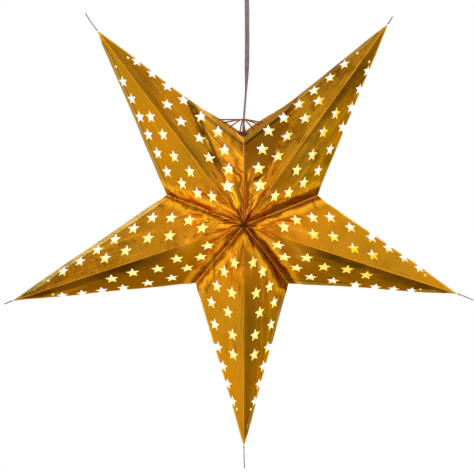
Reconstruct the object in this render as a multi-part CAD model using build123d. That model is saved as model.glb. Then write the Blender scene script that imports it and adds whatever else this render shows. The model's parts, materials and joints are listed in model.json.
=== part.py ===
from build123d import *
from math import cos, hypot, radians, sin, sqrt, tan
import os

# A five-pointed paper star lantern that hangs on a flat cord from a ceiling rose.
# Millimetres, +Z up. The origin is the middle of the rose's back face, on the ceiling.
# The star faces -Y, and its five points lie in a plane across Y.

# The paper star. Each point has its own reach, and leans a little from its fifth of a turn
upper_left_reach = 319.5
upper_right_reach = 327.0
right_reach = 312.0
bottom_reach = 312.0
left_reach = 331.0
upper_left_lean = -1.7
upper_right_lean = 0.3
right_lean = 0.9
bottom_lean = -0.7
left_lean = -1.7
notch_radius = 107.0
half_depth = 85.0
paper_thickness = 0.4
star_drop = 400.0
lap_width = 6.0
lap_thickness = 0.3
lap_tip_gap = 16.0
valley_tab_width = 8.0

# The mouth between the two upper points, spread for the lamp
mouth_length = 94.0
mouth_half_opening = 36.0
mouth_cut = 15.0
# A sheet beside the mouth bows, so that a length down it spans only this share of itself
mouth_bow_share = 0.945

# The punched holes
hole_radius = 9.2
tip_side_hole_radius = 8.4
tip_hole_radius = 3.0
punch_reach = 6.0

# The closing seam down the mouth's front and back
flap_depth = 5.0
tape_thickness = 0.2
tape_inset = 0.5
seam_clearance = 0.1
seam_end_gap = 9.0

# The thread tail at each tip
thread_diameter = 0.9
thread_knot_diameter = 2.2
upper_left_thread = 30.0
upper_right_thread = 17.0
left_thread = 15.0
right_thread = 23.0
bottom_thread = 31.0

# The wire frame in the mouth
frame_wire_diameter = 1.5
hub_height = 135.0
hub_clearance = 0.6
frame_reach = 34.0
spoke_count = 8
spoke_turn = -10.0
spoke_bend_radius = 2.5
rim_clearance = 0.3
lower_ring_clearance = 0.9

# The cord
cord_width = 6.2
cord_points = [
    (4.6, 0.0, -92.0),
    (5.0, 0.0, -142.0),
    (4.4, 0.0, -187.0),
    (1.6, 0.0, -230.0),
]
cord_arc_share = 0.45

# The lamp holder
holder_diameter = 28.0
holder_length = 42.0
holder_wall = 1.8
holder_top_height = 106.0
cap_height = 13.0
cap_neck_diameter = 13.0
cap_wall = 1.6
cord_entry_clearance = 0.4
clip_height = 3.0
clip_diameter = 14.0
clip_clearance = 0.1
insulator_thickness = 8.0
insulator_clearance = 0.1
shell_wall = 0.5
shell_length = 24.0
contact_diameter = 5.0
contact_thickness = 0.8
shade_ring_drop = 3.0
shade_ring_width = 5.0
shade_ring_height = 8.0
shade_ring_clearance = 0.3
ring_seat_gap = 0.3

# The bulb
bulb_cap_diameter = 13.6
bulb_cap_length = 21.0
bulb_cap_wall = 0.5
bulb_cap_clearance = 0.4
bulb_tip_diameter = 4.0
bulb_tip_height = 1.6
contact_gap = 0.3
globe_diameter = 45.0
bulb_neck_diameter = 13.0
bulb_neck_length = 7.0
glass_length = 57.0
glass_wall = 0.8
stem_length = 26.0
stem_diameter = 5.0
stem_flare_height = 1.2
filament_diameter = 0.8
filament_span = 16.0
filament_drop = 6.0
globe_join_share = 0.75

# The ceiling rose
base_diameter = 76.0
base_thickness = 4.0
base_rim_height = 11.0
base_rim_wall = 3.0
cover_clearance = 0.3
cover_wall = 2.2
cover_height = 42.0
cover_shoulder = 16.0
cover_ceiling_gap = 0.5
cover_flat_diameter = 30.0
outlet_clearance = 1.5
fixing_spacing = 51.0
fixing_hole_diameter = 4.5
supply_hole_diameter = 10.0
supply_hole_offset = 17.0
block_length = 26.0
block_width = 12.0
block_height = 13.0
block_offset = 16.0
barrel_diameter = 5.0
barrel_clearance = 0.05
barrel_spacing = 12.0
barrel_end_inset = 1.0
terminal_screw_diameter = 2.6
terminal_screw_head_diameter = 4.4
terminal_screw_head_height = 1.6
terminal_screw_slot = 0.8
anchor_size = 14.0
anchor_height = 9.0
anchor_leg = 3.0
anchor_leg_depth = 5.0
anchor_drop = 7.0
anchor_grip_clearance = 0.1
core_diameter = 2.0
core_spacing = 3.1
core_bend_radius = 1.6
core_rise = 4.0
core_end_gap = 0.5
pivot_gap = 0.3

overrun = 1.0

# Each point's fifth of the turn from straight up, its lean from there, its reach, and what
# its two sides are called, seen from the front
arm_step = 72.0
half_step = arm_step / 2
right_turn = half_step + arm_step
bottom_turn = right_turn + arm_step
arms = {
    "upper_left": (-half_step, upper_left_lean, upper_left_reach, "left", "right"),
    "upper_right": (half_step, upper_right_lean, upper_right_reach, "left", "right"),
    "right": (right_turn, right_lean, right_reach, "upper", "lower"),
    "bottom": (bottom_turn, bottom_lean, bottom_reach, "right", "left"),
    "left": (-right_turn, left_lean, left_reach, "lower", "upper"),
}
thread_lengths = {
    "upper_left": upper_left_thread,
    "upper_right": upper_right_thread,
    "right": right_thread,
    "bottom": bottom_thread,
    "left": left_thread,
}

# The long edges with a glue lap, and those whose holes stay clear of the fold
lapped_edges = ["upper_left left", "upper_right left", "right lower", "bottom right", "left upper"]
clear_edges = ["upper_left left", "upper_right left", "left upper"]

# Hole places on a panel, as shares of its ridge and of its valley, from the lantern's middle
clear_edge_row_shares = [
    (0.171, 0.665),
    (0.279, 0.585),
    (0.387, 0.500),
    (0.491, 0.415),
    (0.600, 0.310),
    (0.700, 0.230),
]
wrapped_edge_row_shares = [
    (0.171, 0.665),
    (0.288, 0.600),
    (0.408, 0.535),
    (0.520, 0.440),
    (0.625, 0.345),
    (0.730, 0.245),
]
valley_row_shares = [(0.113, 0.190), (0.100, 0.400), (0.127, 0.550)]
ridge_row_shares = [(0.234, 0.240), (0.300, 0.320), (0.426, 0.225), (0.519, 0.215)]
tip_hole_share = (0.790, 0.150)
hole_waist_share = 0.45
tip_side_holes = 2

# Places that follow from the sizes above
pivot_z = -cover_height
cord_radius = cord_width / 2
wire_radius = frame_wire_diameter / 2
hub_radius = cord_radius + hub_clearance + wire_radius
lower_ring_radius = holder_diameter / 2 + lower_ring_clearance + wire_radius
shade_ring_top = holder_top_height - shade_ring_drop
lower_ring_height = shade_ring_top + ring_seat_gap + wire_radius
valley_length = hypot(notch_radius, half_depth)
rim_reach = valley_length - mouth_cut
rim_height = sqrt(rim_reach**2 - (half_depth - mouth_half_opening) ** 2)
holder_bottom_height = holder_top_height - holder_length
holder_bore = holder_diameter / 2 - holder_wall
insulator_bottom = holder_top_height - insulator_thickness
shell_radius = bulb_cap_diameter / 2 + bulb_cap_clearance
contact_bottom = insulator_bottom - contact_thickness
bulb_tip_top = contact_bottom - contact_gap
bulb_cap_top = bulb_tip_top - bulb_tip_height
bulb_cap_bottom = bulb_cap_top - bulb_cap_length

parts = {}


def ray(turn, radius):
    """A point of the star's middle plane, turned clockwise from straight up."""
    return Vector(radius * sin(radians(turn)), 0, radius * cos(radians(turn)))


def tip_place(arm, beyond=0):
    """A point's tip, or a place some way beyond it."""
    turn, lean, reach = arms[arm][:3]
    return ray(turn + lean, reach + beyond)


def on_star(shape):
    """A shape modelled round the star's centre, put where the star hangs."""
    return Location((0, 0, -star_drop)) * shape


def from_line(point, start, end):
    """How far a point lies from the line through two others."""
    along = (end - start).normalized()
    return (point - start).cross(along).length


def tapered_plate(outline, outer_scale, inner_scale):
    """A thin plate whose edges all aim at the star's centre, so that neighbours mitre."""
    outer = [corner * outer_scale for corner in outline]
    inner = [corner * inner_scale for corner in outline]
    faces = [Face(Wire.make_polygon(outer)), Face(Wire.make_polygon(inner))]
    for i, corner in enumerate(outer):
        j = (i + 1) % len(outer)
        faces.append(Face(Wire.make_polygon([corner, outer[j], inner[j], inner[i]])))
    return Solid(Shell(faces))


def star_face(radius):
    """A five-pointed star with one point along +X."""
    points = []
    for i in range(len(arms)):
        tip_turn = radians(i * arm_step)
        waist_turn = radians(i * arm_step + half_step)
        waist = radius * hole_waist_share
        points.append((radius * cos(tip_turn), radius * sin(tip_turn)))
        points.append((waist * cos(waist_turn), waist * sin(waist_turn)))
    return make_face(Polyline(*points, close=True))


def hole_places(is_clear):
    """Every hole of a panel: its two shares and its radius."""
    row = clear_edge_row_shares if is_clear else wrapped_edge_row_shares
    holes = []
    for i, shares in enumerate(row):
        is_tip_side = i >= len(row) - tip_side_holes
        holes.append((shares, tip_side_hole_radius if is_tip_side else hole_radius))
    for shares in valley_row_shares + ridge_row_shares:
        holes.append((shares, hole_radius))
    holes.append((tip_hole_share, tip_hole_radius))
    return holes


def rim_corner(side):
    """Where an upper point's long edge begins to part, left (-1) or right (1) of the mouth."""
    notch = ray(0, notch_radius)
    tip = tip_place("upper_left" if side < 0 else "upper_right")
    return notch + (tip - notch).normalized() * mouth_length


def hole_outlines(apex, ridge, valley, holes):
    """The stars of a flat sheet, each with one point towards the star's centre."""
    normal = ridge.cross(valley).normalized()
    outlines = []
    for shares, radius in holes:
        place = apex + ridge * shares[0] + valley * shares[1]
        outlines.append(Plane(place, -ridge, normal) * star_face(radius))
    return outlines


def punched(sheet, outlines):
    """A sheet with its holes cut. Two points of a hole that cross a fold free a scrap, which falls out."""
    for outline in outlines:
        sheet -= extrude(outline, punch_reach, both=True)
    return sheet.solids().sort_by(SortBy.VOLUME)[-1]


def panel(arm, side, face):
    """One of a point's four panels. side is -1 or 1 across the ridge, face is -1 in front.

    Beside the mouth a crease parts it in two, and the second sheet is the one that leans out.
    """
    turn = arms[arm][0]
    low_name, high_name = arms[arm][3:]
    edge = f"{arm} {low_name if side < 0 else high_name}"
    apex = Vector(0, face * half_depth, 0)
    tip = tip_place(arm)
    notch = ray(turn + side * half_step, notch_radius)
    ridge = tip - apex
    valley = notch - apex
    normal = ridge.cross(valley).normalized()
    plane_distance = abs(normal.dot(apex))
    paper_share = paper_thickness / plane_distance
    inner_scale = 1 - paper_share
    at_mouth = turn + side * half_step == 0

    if at_mouth:
        corner = rim_corner(-side)
        rim = Vector(0, face * mouth_half_opening, rim_height)
        sheets = [tapered_plate([apex, tip, corner], 1, inner_scale)]
        leaning_sheet = tapered_plate([apex, corner, rim], 1, inner_scale)
    else:
        corner = notch
        sheets = [tapered_plate([apex, tip, notch], 1, inner_scale)]
        if side > 0:
            share = valley_tab_width / from_line(tip, apex, notch)
            tab = [apex, notch, notch + (tip - notch) * share, apex + ridge * share]
            sheets[0] += tapered_plate(tab, inner_scale, inner_scale - paper_share)

    if face < 0 and edge in lapped_edges:
        share = lap_width / from_line(apex, tip, notch)
        start = tip + (corner - tip).normalized() * lap_tip_gap
        lap = [start, corner, corner + (apex - corner) * share, start + (apex - start) * share]
        sheets[0] += tapered_plate(lap, 1 + lap_thickness / plane_distance, 1)

    holes = hole_places(edge in clear_edges)
    sheets = [punched(sheets[0], hole_outlines(apex, ridge, valley, holes))]
    if at_mouth:
        # Flat, the crease is this mix of ridge and valley, and it stays in place as the sheet leans
        crease_share = mouth_length / (tip - notch).length
        leaning_valley = (rim - apex).normalized() * valley.length * mouth_bow_share
        leaning_ridge = (corner - apex - leaning_valley * (1 - crease_share)) / crease_share
        sheets.append(punched(leaning_sheet, hole_outlines(apex, leaning_ridge, leaning_valley, holes)))
    return sheets


def paper_star():
    """The panels of the five folded points."""
    for arm in arms:
        low_name, high_name = arms[arm][3:]
        for face, face_name in ((-1, "front"), (1, "back")):
            for side, side_name in ((-1, low_name), (1, high_name)):
                sheets = panel(arm, side, face)
                for sheet, sheet_name in zip(sheets, (side_name, "mouth")):
                    parts[f"{arm}_point_{face_name}_{sheet_name}_panel"] = on_star(sheet)


def fin(start, end, outward, low, high, thickness):
    """A strip that stands out from a line in the middle plane X = 0."""
    corners = [start + outward * low, end + outward * low, end + outward * high, start + outward * high]
    return extrude(Face(Wire.make_polygon(corners)), thickness / 2, dir=(1, 0, 0), both=True)


def closing_seam(face, face_name):
    """The two flaps that stand out along the mouth's seam, and the tape between them."""
    apex = Vector(0, face * half_depth, 0)
    rim = Vector(0, face * mouth_half_opening, rim_height)
    along = (rim - apex).normalized()
    outward = Vector(0, face * along.Z, abs(along.Y))
    start = apex + along * seam_end_gap
    edge = seam_clearance + flap_depth
    both = fin(start, rim, outward, seam_clearance, edge, tape_thickness + 2 * paper_thickness)
    past = along * overrun
    gap = fin(start - past, rim + past, outward, -overrun, edge + overrun, tape_thickness)
    inset = along * tape_inset
    tape = fin(start + inset, rim - inset, outward, seam_clearance, edge - tape_inset, tape_thickness)
    parts[f"{face_name}_closing_flaps"] = on_star(both - gap)
    parts[f"{face_name}_closing_tape"] = on_star(tape)


def tip_threads():
    """A knotted thread tail that runs on from each tip, along its point."""
    tails = []
    knot_radius = thread_knot_diameter / 2
    for arm, length in thread_lengths.items():
        middle = tip_place(arm, knot_radius)
        start = Plane(middle, z_dir=middle.normalized())
        tail = extrude(start * Circle(thread_diameter / 2), length - knot_radius)
        knot = Pos(middle) * Sphere(knot_radius)
        tails.append(knot + tail)
    parts["tip_threads"] = on_star(Compound(tails))


def spoke(index):
    """One wire of the frame: out from the hub to the rim, then down to the lower ring."""
    turn = radians(index * 360 / spoke_count + spoke_turn)
    outward = Vector(cos(turn), sin(turn), 0)
    corner = rim_corner(-1 if outward.X < 0 else 1)
    corner_x = abs(corner.X)
    rim_distance = 1 / (abs(outward.X) / corner_x + abs(outward.Y) / mouth_half_opening)
    flat_distance = corner_x * mouth_half_opening / hypot(corner_x, mouth_half_opening)
    clear_share = 1 - (wire_radius + paper_thickness + rim_clearance) / flat_distance
    reach = min(frame_reach, rim_distance * clear_share)
    rise = (corner.Z - rim_height) * reach * abs(outward.X) / corner_x
    hub = Vector(0, 0, hub_height) + outward * hub_radius
    ring = Vector(0, 0, lower_ring_height) + outward * lower_ring_radius
    seat = Vector(0, 0, rim_height + rise) + outward * reach
    inward = (hub - seat).normalized() + (ring - seat).normalized()
    half_angle = radians((hub - seat).get_angle(ring - seat)) / 2
    setback = spoke_bend_radius / sin(half_angle) - spoke_bend_radius
    elbow = seat - inward.normalized() * setback
    start = hub + (elbow - hub).normalized() * wire_radius
    end = ring + (elbow - ring).normalized() * wire_radius
    path = FilletPolyline(start, elbow, end, radius=spoke_bend_radius)
    return sweep(Plane(start, z_dir=elbow - start) * Circle(wire_radius), path)


def wire_frame():
    """The hub ring round the cord, the spokes that spread the mouth, and the lower ring."""
    parts["frame_hub_ring"] = on_star(Pos(0, 0, hub_height) * Torus(hub_radius, wire_radius))
    lower = Pos(0, 0, lower_ring_height) * Torus(lower_ring_radius, wire_radius)
    parts["frame_lower_ring"] = on_star(lower)
    for index in range(spoke_count):
        parts[f"frame_spoke_{index + 1}"] = on_star(spoke(index))


def turned(*points):
    """A solid turned round the upright axis, from its radius and height points."""
    return revolve(Plane.XZ * make_face(Polyline(*points, close=True)), Axis.Z)


def tube(outer, inner, low, high):
    """An upright tube between two heights."""
    return turned((inner, low), (outer, low), (outer, high), (inner, high))


def cord():
    """The hanging cord, from its pivot in the rose's outlet to the clip in the holder's cap."""
    end_z = holder_top_height - star_drop
    above_z = hub_height - star_drop
    route = [Vector(0, 0, pivot_z)] + [Vector(*point) for point in cord_points]
    route += [Vector(0, 0, above_z), Vector(0, 0, end_z)]
    radii = []
    for before, point, after in zip(route, route[1:], route[2:]):
        run = min((point - before).length, (after - point).length)
        turn = radians((point - before).get_angle(after - point))
        radii.append(cord_arc_share * run / tan(turn / 2))
    path = FilletPolyline(*route, radius=radii)
    solid = sweep(Plane(route[0], z_dir=route[1] - route[0]) * Circle(cord_radius), path)
    solid += Pos(route[0]) * Sphere(cord_radius)
    print("cord radii", [round(radius) for radius in radii], "length", round(path.length, 1))
    print("cord volume", round(solid.volume), "of", round(Circle(cord_radius).area * path.length))
    parts["cord"] = solid


def lamp_holder():
    """The holder at the cord's end: cap, clip, body, insulator, screw shell and contact."""
    body_radius = holder_diameter / 2
    neck_radius = cap_neck_diameter / 2
    cap_top = holder_top_height + cap_height
    entry = cord_radius + cord_entry_clearance
    cap = turned(
        (body_radius - cap_wall, holder_top_height),
        (body_radius, holder_top_height),
        (neck_radius, cap_top),
        (entry, cap_top),
        (entry, cap_top - cap_wall),
        (neck_radius, cap_top - cap_wall),
    )
    clip_bore = cord_radius + clip_clearance
    clip_low = holder_top_height
    parts["lamp_holder_cap"] = on_star(cap)
    parts["cord_clip"] = on_star(tube(clip_diameter / 2, clip_bore, clip_low, clip_low + clip_height))
    body = tube(body_radius, holder_bore, holder_bottom_height, holder_top_height)
    parts["lamp_holder_body"] = on_star(body)
    insulator_radius = holder_bore - insulator_clearance
    plug = tube(insulator_radius, 0, insulator_bottom, holder_top_height)
    parts["holder_insulator"] = on_star(plug)
    shell = tube(shell_radius + shell_wall, shell_radius, insulator_bottom - shell_length, insulator_bottom)
    parts["screw_shell"] = on_star(shell)
    contact = tube(contact_diameter / 2, 0, contact_bottom, insulator_bottom)
    parts["centre_contact"] = on_star(contact)
    inner = body_radius + shade_ring_clearance
    outer = body_radius + shade_ring_width
    ring = tube(outer, inner, shade_ring_top - shade_ring_height, shade_ring_top)
    parts["shade_ring"] = on_star(ring)


def globe(shrink):
    """The bulb's round glass form, made smaller all round by the given amount."""
    radius = globe_diameter / 2 - shrink
    neck = bulb_neck_diameter / 2 - shrink
    centre_z = bulb_cap_bottom - glass_length + globe_diameter / 2
    neck_z = bulb_cap_bottom - bulb_neck_length
    join = sqrt(radius**2 - (radius * globe_join_share) ** 2)
    form = turned(
        (0, bulb_cap_bottom),
        (neck, bulb_cap_bottom),
        (neck, neck_z),
        (join, centre_z + radius * globe_join_share),
        (0, centre_z),
    )
    return form + Pos(0, 0, centre_z) * Sphere(radius)


def bulb():
    """The bulb: screw cap, solder tip, glass, stem and filament."""
    cap_radius = bulb_cap_diameter / 2
    cap_inner = cap_radius - bulb_cap_wall
    cap = turned(
        (cap_inner, bulb_cap_bottom),
        (cap_radius, bulb_cap_bottom),
        (cap_radius, bulb_cap_top),
        (0, bulb_cap_top),
        (0, bulb_cap_top - bulb_cap_wall),
        (cap_inner, bulb_cap_top - bulb_cap_wall),
    )
    parts["bulb_cap"] = on_star(cap)
    parts["bulb_tip"] = on_star(tube(bulb_tip_diameter / 2, 0, bulb_cap_top, bulb_tip_top))
    parts["bulb_glass"] = on_star(globe(0) - globe(glass_wall))
    stem_low = bulb_cap_bottom - stem_length
    flare_radius = bulb_neck_diameter / 2 - glass_wall
    stem = tube(stem_diameter / 2, 0, stem_low, bulb_cap_bottom)
    stem += tube(flare_radius, 0, bulb_cap_bottom - stem_flare_height, bulb_cap_bottom)
    parts["bulb_stem"] = on_star(stem)
    filament_z = stem_low - filament_drop
    wire = filament_diameter / 2
    foot = stem_diameter / 2 - filament_diameter
    filament = Pos(0, 0, filament_z) * Rot(0, 90, 0) * Cylinder(wire, filament_span)
    for side in (-1, 1):
        low = Vector(side * (filament_span / 2 - wire), 0, filament_z)
        high = Vector(side * foot, 0, stem_low)
        lead = extrude(Plane(low, z_dir=high - low) * Circle(wire), (high - low).length)
        filament += lead
    filament -= Pos(0, 0, stem_low) * Cylinder(
        stem_diameter, stem_length, align=(Align.CENTER, Align.CENTER, Align.MIN)
    )
    parts["bulb_filament"] = on_star(filament)


def dome(radius, low, high, neck):
    """The cover's rounded form: straight down from the ceiling, then drawn in to its neck."""
    shoulder = Line((radius, high), (radius, -cover_shoulder))
    curve = TangentArc((radius, -cover_shoulder), (neck, low), tangent=(0, -1))
    close = Polyline((neck, low), (0, low), (0, high), (radius, high))
    return revolve(Plane.XZ * make_face([shoulder, curve, close]), Axis.Z)


def upright_box(width, depth, low, high, x=0, y=0):
    """A box between two heights."""
    return Pos(x, y, (low + high) / 2) * Box(width, depth, high - low)


def ceiling_rose():
    """The rose: base with its rim and holes, screw-on cover, terminals and cord anchor."""
    base_radius = base_diameter / 2
    rim_low = -base_thickness - base_rim_height
    base = tube(base_radius, 0, -base_thickness, 0)
    base += tube(base_radius, base_radius - base_rim_wall, rim_low, -base_thickness)
    drill = 2 * base_thickness + 2 * overrun
    for side in (-1, 1):
        base -= Pos(side * fixing_spacing / 2, 0, 0) * Cylinder(fixing_hole_diameter / 2, drill)
    base -= Pos(0, -supply_hole_offset, 0) * Cylinder(supply_hole_diameter / 2, drill)
    parts["rose_base"] = base

    inside = base_radius + cover_clearance
    cover = dome(inside + cover_wall, -cover_height, -cover_ceiling_gap, cover_flat_diameter / 2)
    cover -= dome(inside, cover_wall - cover_height, 0, cover_flat_diameter / 2)
    outlet = cord_radius + outlet_clearance
    cover -= Pos(0, 0, -cover_height) * Cylinder(outlet, 2 * cover_wall + 2 * overrun)
    parts["rose_cover"] = cover


def terminals():
    """The terminal block on the base, with its brass barrels and their clamping screws."""
    low = -base_thickness - block_height
    middle_z = -base_thickness - block_height / 2
    block = upright_box(block_length, block_width, low, -base_thickness, 0, block_offset)
    barrels = []
    screws = []
    for side in (-1, 1):
        across = Pos(side * barrel_spacing / 2, block_offset, middle_z) * Rot(90, 0, 0)
        block -= across * Cylinder(barrel_diameter / 2 + barrel_clearance, block_width + 2 * overrun)
        below = Pos(side * barrel_spacing / 2, block_offset, low)
        bore = terminal_screw_diameter / 2 + barrel_clearance
        block -= below * Cylinder(bore, block_height)
        barrel = across * Cylinder(barrel_diameter / 2, block_width - 2 * barrel_end_inset)
        barrel -= below * Cylinder(bore, block_height)
        barrels.append(barrel)
        head = upright_screw_head(side, low)
        screws.append(head)
    parts["terminal_block"] = block
    parts["terminal_barrels"] = Compound(barrels)
    parts["terminal_screws"] = Compound(screws)


def upright_screw_head(side, low):
    """A slotted clamping screw that goes up into its barrel from under the block."""
    x = side * barrel_spacing / 2
    middle_z = -base_thickness - block_height / 2
    shank = upright_cylinder(terminal_screw_diameter / 2, low, middle_z, x, block_offset)
    head_low = low - terminal_screw_head_height
    head = upright_cylinder(terminal_screw_head_diameter / 2, head_low, low, x, block_offset)
    slot = upright_box(
        terminal_screw_head_diameter + overrun,
        terminal_screw_slot,
        head_low - overrun,
        head_low + terminal_screw_head_height / 2,
        x,
        block_offset,
    )
    return shank + head - slot


def cord_anchor():
    """The anchor that grips the cord in the rose, its stretch of cord, and the two cores."""
    low = -base_thickness - anchor_drop - anchor_height
    high = -base_thickness - anchor_drop
    anchor = upright_box(anchor_size, anchor_size, low, high)
    for side in (-1, 1):
        leg_x = side * (anchor_size - anchor_leg) / 2
        anchor += upright_box(anchor_leg, anchor_leg_depth, high, -base_thickness, leg_x)
    anchor -= upright_cylinder(cord_radius + anchor_grip_clearance, low - overrun, high + overrun)
    parts["cord_anchor"] = anchor
    cord_low = pivot_z + cord_radius + pivot_gap
    parts["rose_cord"] = upright_cylinder(cord_radius, cord_low, high)

    barrel_end = block_offset - block_width / 2 + barrel_end_inset
    middle_z = -base_thickness - block_height / 2
    cores = []
    for side in (-1, 1):
        start = Vector(side * core_spacing / 2, 0, high)
        corner = start + Vector(0, 0, core_rise)
        reach = Vector(side * barrel_spacing / 2, barrel_end - core_end_gap, middle_z)
        path = FilletPolyline(start, corner, reach, radius=core_bend_radius)
        cores.append(sweep(Plane(start, z_dir=(0, 0, 1)) * Circle(core_diameter / 2), path))
    parts["rose_cores"] = Compound(cores)


def upright_cylinder(radius, low, high, x=0, y=0):
    """A round bar between two heights."""
    return Pos(x, y, (low + high) / 2) * Cylinder(radius, high - low)


paper_star()
closing_seam(-1, "front")
closing_seam(1, "back")
tip_threads()
wire_frame()
cord()
lamp_holder()
bulb()
ceiling_rose()
terminals()
cord_anchor()

os.makedirs("parts", exist_ok=True)
for name, shape in parts.items():
    export_step(shape, f"parts/{name}.step")
print(len(parts), "nodes")
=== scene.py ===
# %% [markdown]
# # A folded paper star lantern
# Five folded foil-paper points hang on a flat cord from a ceiling rose. This notebook dresses the
# measured frame: it keeps every rigid part where it is, and makes the paper, the cord, the threads
# and the thin wires again, as slightly crumpled sheets and bent lines. All lengths are in metres.

import json
import math

import bmesh
import bpy
import numpy as np
from mathutils import Matrix, Vector, noise
from mathutils.geometry import delaunay_2d_cdt


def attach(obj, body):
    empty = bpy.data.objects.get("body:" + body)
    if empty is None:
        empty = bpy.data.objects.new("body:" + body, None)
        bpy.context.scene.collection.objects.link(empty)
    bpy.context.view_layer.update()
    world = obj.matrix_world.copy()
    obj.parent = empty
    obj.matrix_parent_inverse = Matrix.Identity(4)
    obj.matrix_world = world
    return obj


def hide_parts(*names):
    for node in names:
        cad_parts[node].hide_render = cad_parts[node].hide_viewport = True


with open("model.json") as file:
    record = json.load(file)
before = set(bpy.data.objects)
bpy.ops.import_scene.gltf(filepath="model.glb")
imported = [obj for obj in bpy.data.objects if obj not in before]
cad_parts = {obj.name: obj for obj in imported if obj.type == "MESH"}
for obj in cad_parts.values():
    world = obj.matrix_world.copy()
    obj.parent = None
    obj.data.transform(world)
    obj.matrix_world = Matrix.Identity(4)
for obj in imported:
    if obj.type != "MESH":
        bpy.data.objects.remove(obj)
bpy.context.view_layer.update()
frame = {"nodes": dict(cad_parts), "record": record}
scene = bpy.context.scene
MM = 0.001

# %% [markdown]
# ## The camera
# The lantern was photographed from a little left of its middle and a little above it, from far
# enough away that its points look almost flat-on. A long lens two metres off gives that. The
# camera's frame is built from its own three directions, so there is no guessing at Euler angles.

# %% Camera
LOOK_AZIMUTH = math.radians(1.5)
LOOK_DOWN = math.radians(5.4)
LOOK_ROLL = math.radians(0.3)
LOOK_DISTANCE = 2.0
LOOK_AT = Vector((-0.0071, 0, -0.4223))
PHOTO_WIDTH = 474
FOCAL_PIXELS = 1477.0
SENSOR_WIDTH = 36.0


def make_camera():
    """A camera that looks along its given direction, with a small roll."""
    forward = Vector((
        math.sin(LOOK_AZIMUTH) * math.cos(LOOK_DOWN),
        math.cos(LOOK_AZIMUTH) * math.cos(LOOK_DOWN),
        -math.sin(LOOK_DOWN),
    ))
    level = Vector((math.cos(LOOK_AZIMUTH), -math.sin(LOOK_AZIMUTH), 0))
    over = level.cross(forward)
    right = level * math.cos(LOOK_ROLL) + over * math.sin(LOOK_ROLL)
    up = over * math.cos(LOOK_ROLL) - level * math.sin(LOOK_ROLL)
    data = bpy.data.cameras.new("camera")
    data.sensor_width = SENSOR_WIDTH
    data.lens = FOCAL_PIXELS / PHOTO_WIDTH * SENSOR_WIDTH
    camera = bpy.data.objects.new("camera", data)
    turn = Matrix((right, up, -forward)).transposed().to_4x4()
    camera.matrix_world = Matrix.Translation(LOOK_AT - forward * LOOK_DISTANCE) @ turn
    scene.collection.objects.link(camera)
    scene.camera = camera
    return camera


camera = make_camera()
scene.view_settings.view_transform = "Standard"
print("camera at", [round(value, 3) for value in camera.location])

# %% [markdown]
# ## Shader maths as plain sums
# A material is a small graph of nodes. Wiring each node by hand hides the idea, so one class wraps
# a socket and turns Python's operators into Math and Vector Math nodes.


# %% A socket that can be added and multiplied
class Wire:
    """One output socket in a material."""

    def __init__(self, finish, socket):
        self.finish = finish
        self.socket = socket

    def sum_with(self, operation, other, turned=False):
        pair = [other, self] if turned else [self, other]
        wide = any(isinstance(side, Wire) and side.socket.type != "VALUE" for side in pair)
        kind = "ShaderNodeVectorMath" if wide else "ShaderNodeMath"
        if wide:
            pair = [side if isinstance(side, (Wire, tuple)) else (side,) * 3 for side in pair]
        return self.finish.node(kind, {"operation": operation}, dict(enumerate(pair)))

    def limit(self):
        """The value kept between 0 and 1."""
        return self.finish.node("ShaderNodeClamp", {}, {"Value": self})

    def step(self, low, high):
        """0 below low, 1 above high, and smooth between."""
        settings = {"interpolation_type": "SMOOTHSTEP"}
        sockets = {"Value": self, "From Min": low, "From Max": high}
        return self.finish.node("ShaderNodeMapRange", settings, sockets)


def operator(operation, turned):
    """What Python runs for a sign, with the socket on its left, or on its right when turned."""
    return lambda wire, other: wire.sum_with(operation, other, turned)


OPERATORS = {"add": "ADD", "sub": "SUBTRACT", "mul": "MULTIPLY", "truediv": "DIVIDE", "pow": "POWER"}
for word, operation in OPERATORS.items():
    setattr(Wire, f"__{word}__", operator(operation, False))
    setattr(Wire, f"__r{word}__", operator(operation, True))
print("a socket can", list(OPERATORS))

# %% [markdown]
# ## A material while it is being made
# The second class holds the node tree. Its `node` adds any node: its settings first, then what its
# sockets hold. The other methods are the few nodes that nearly every finish below needs, and
# `surface` closes the material with one Principled shader, which is enough for foil and plastic.

# %% The finish class
NOISE_ROUGHNESS = 0.55
# The Mix node has sockets for numbers, vectors and colours, and these are the colours' places
MIX_SHARE, MIX_FIRST, MIX_SECOND, MIX_COLOUR = 0, 6, 7, 2


def with_alpha(value):
    """A colour gets its fourth number, and anything else stays as it is."""
    return (*value, 1) if isinstance(value, tuple) else value


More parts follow.
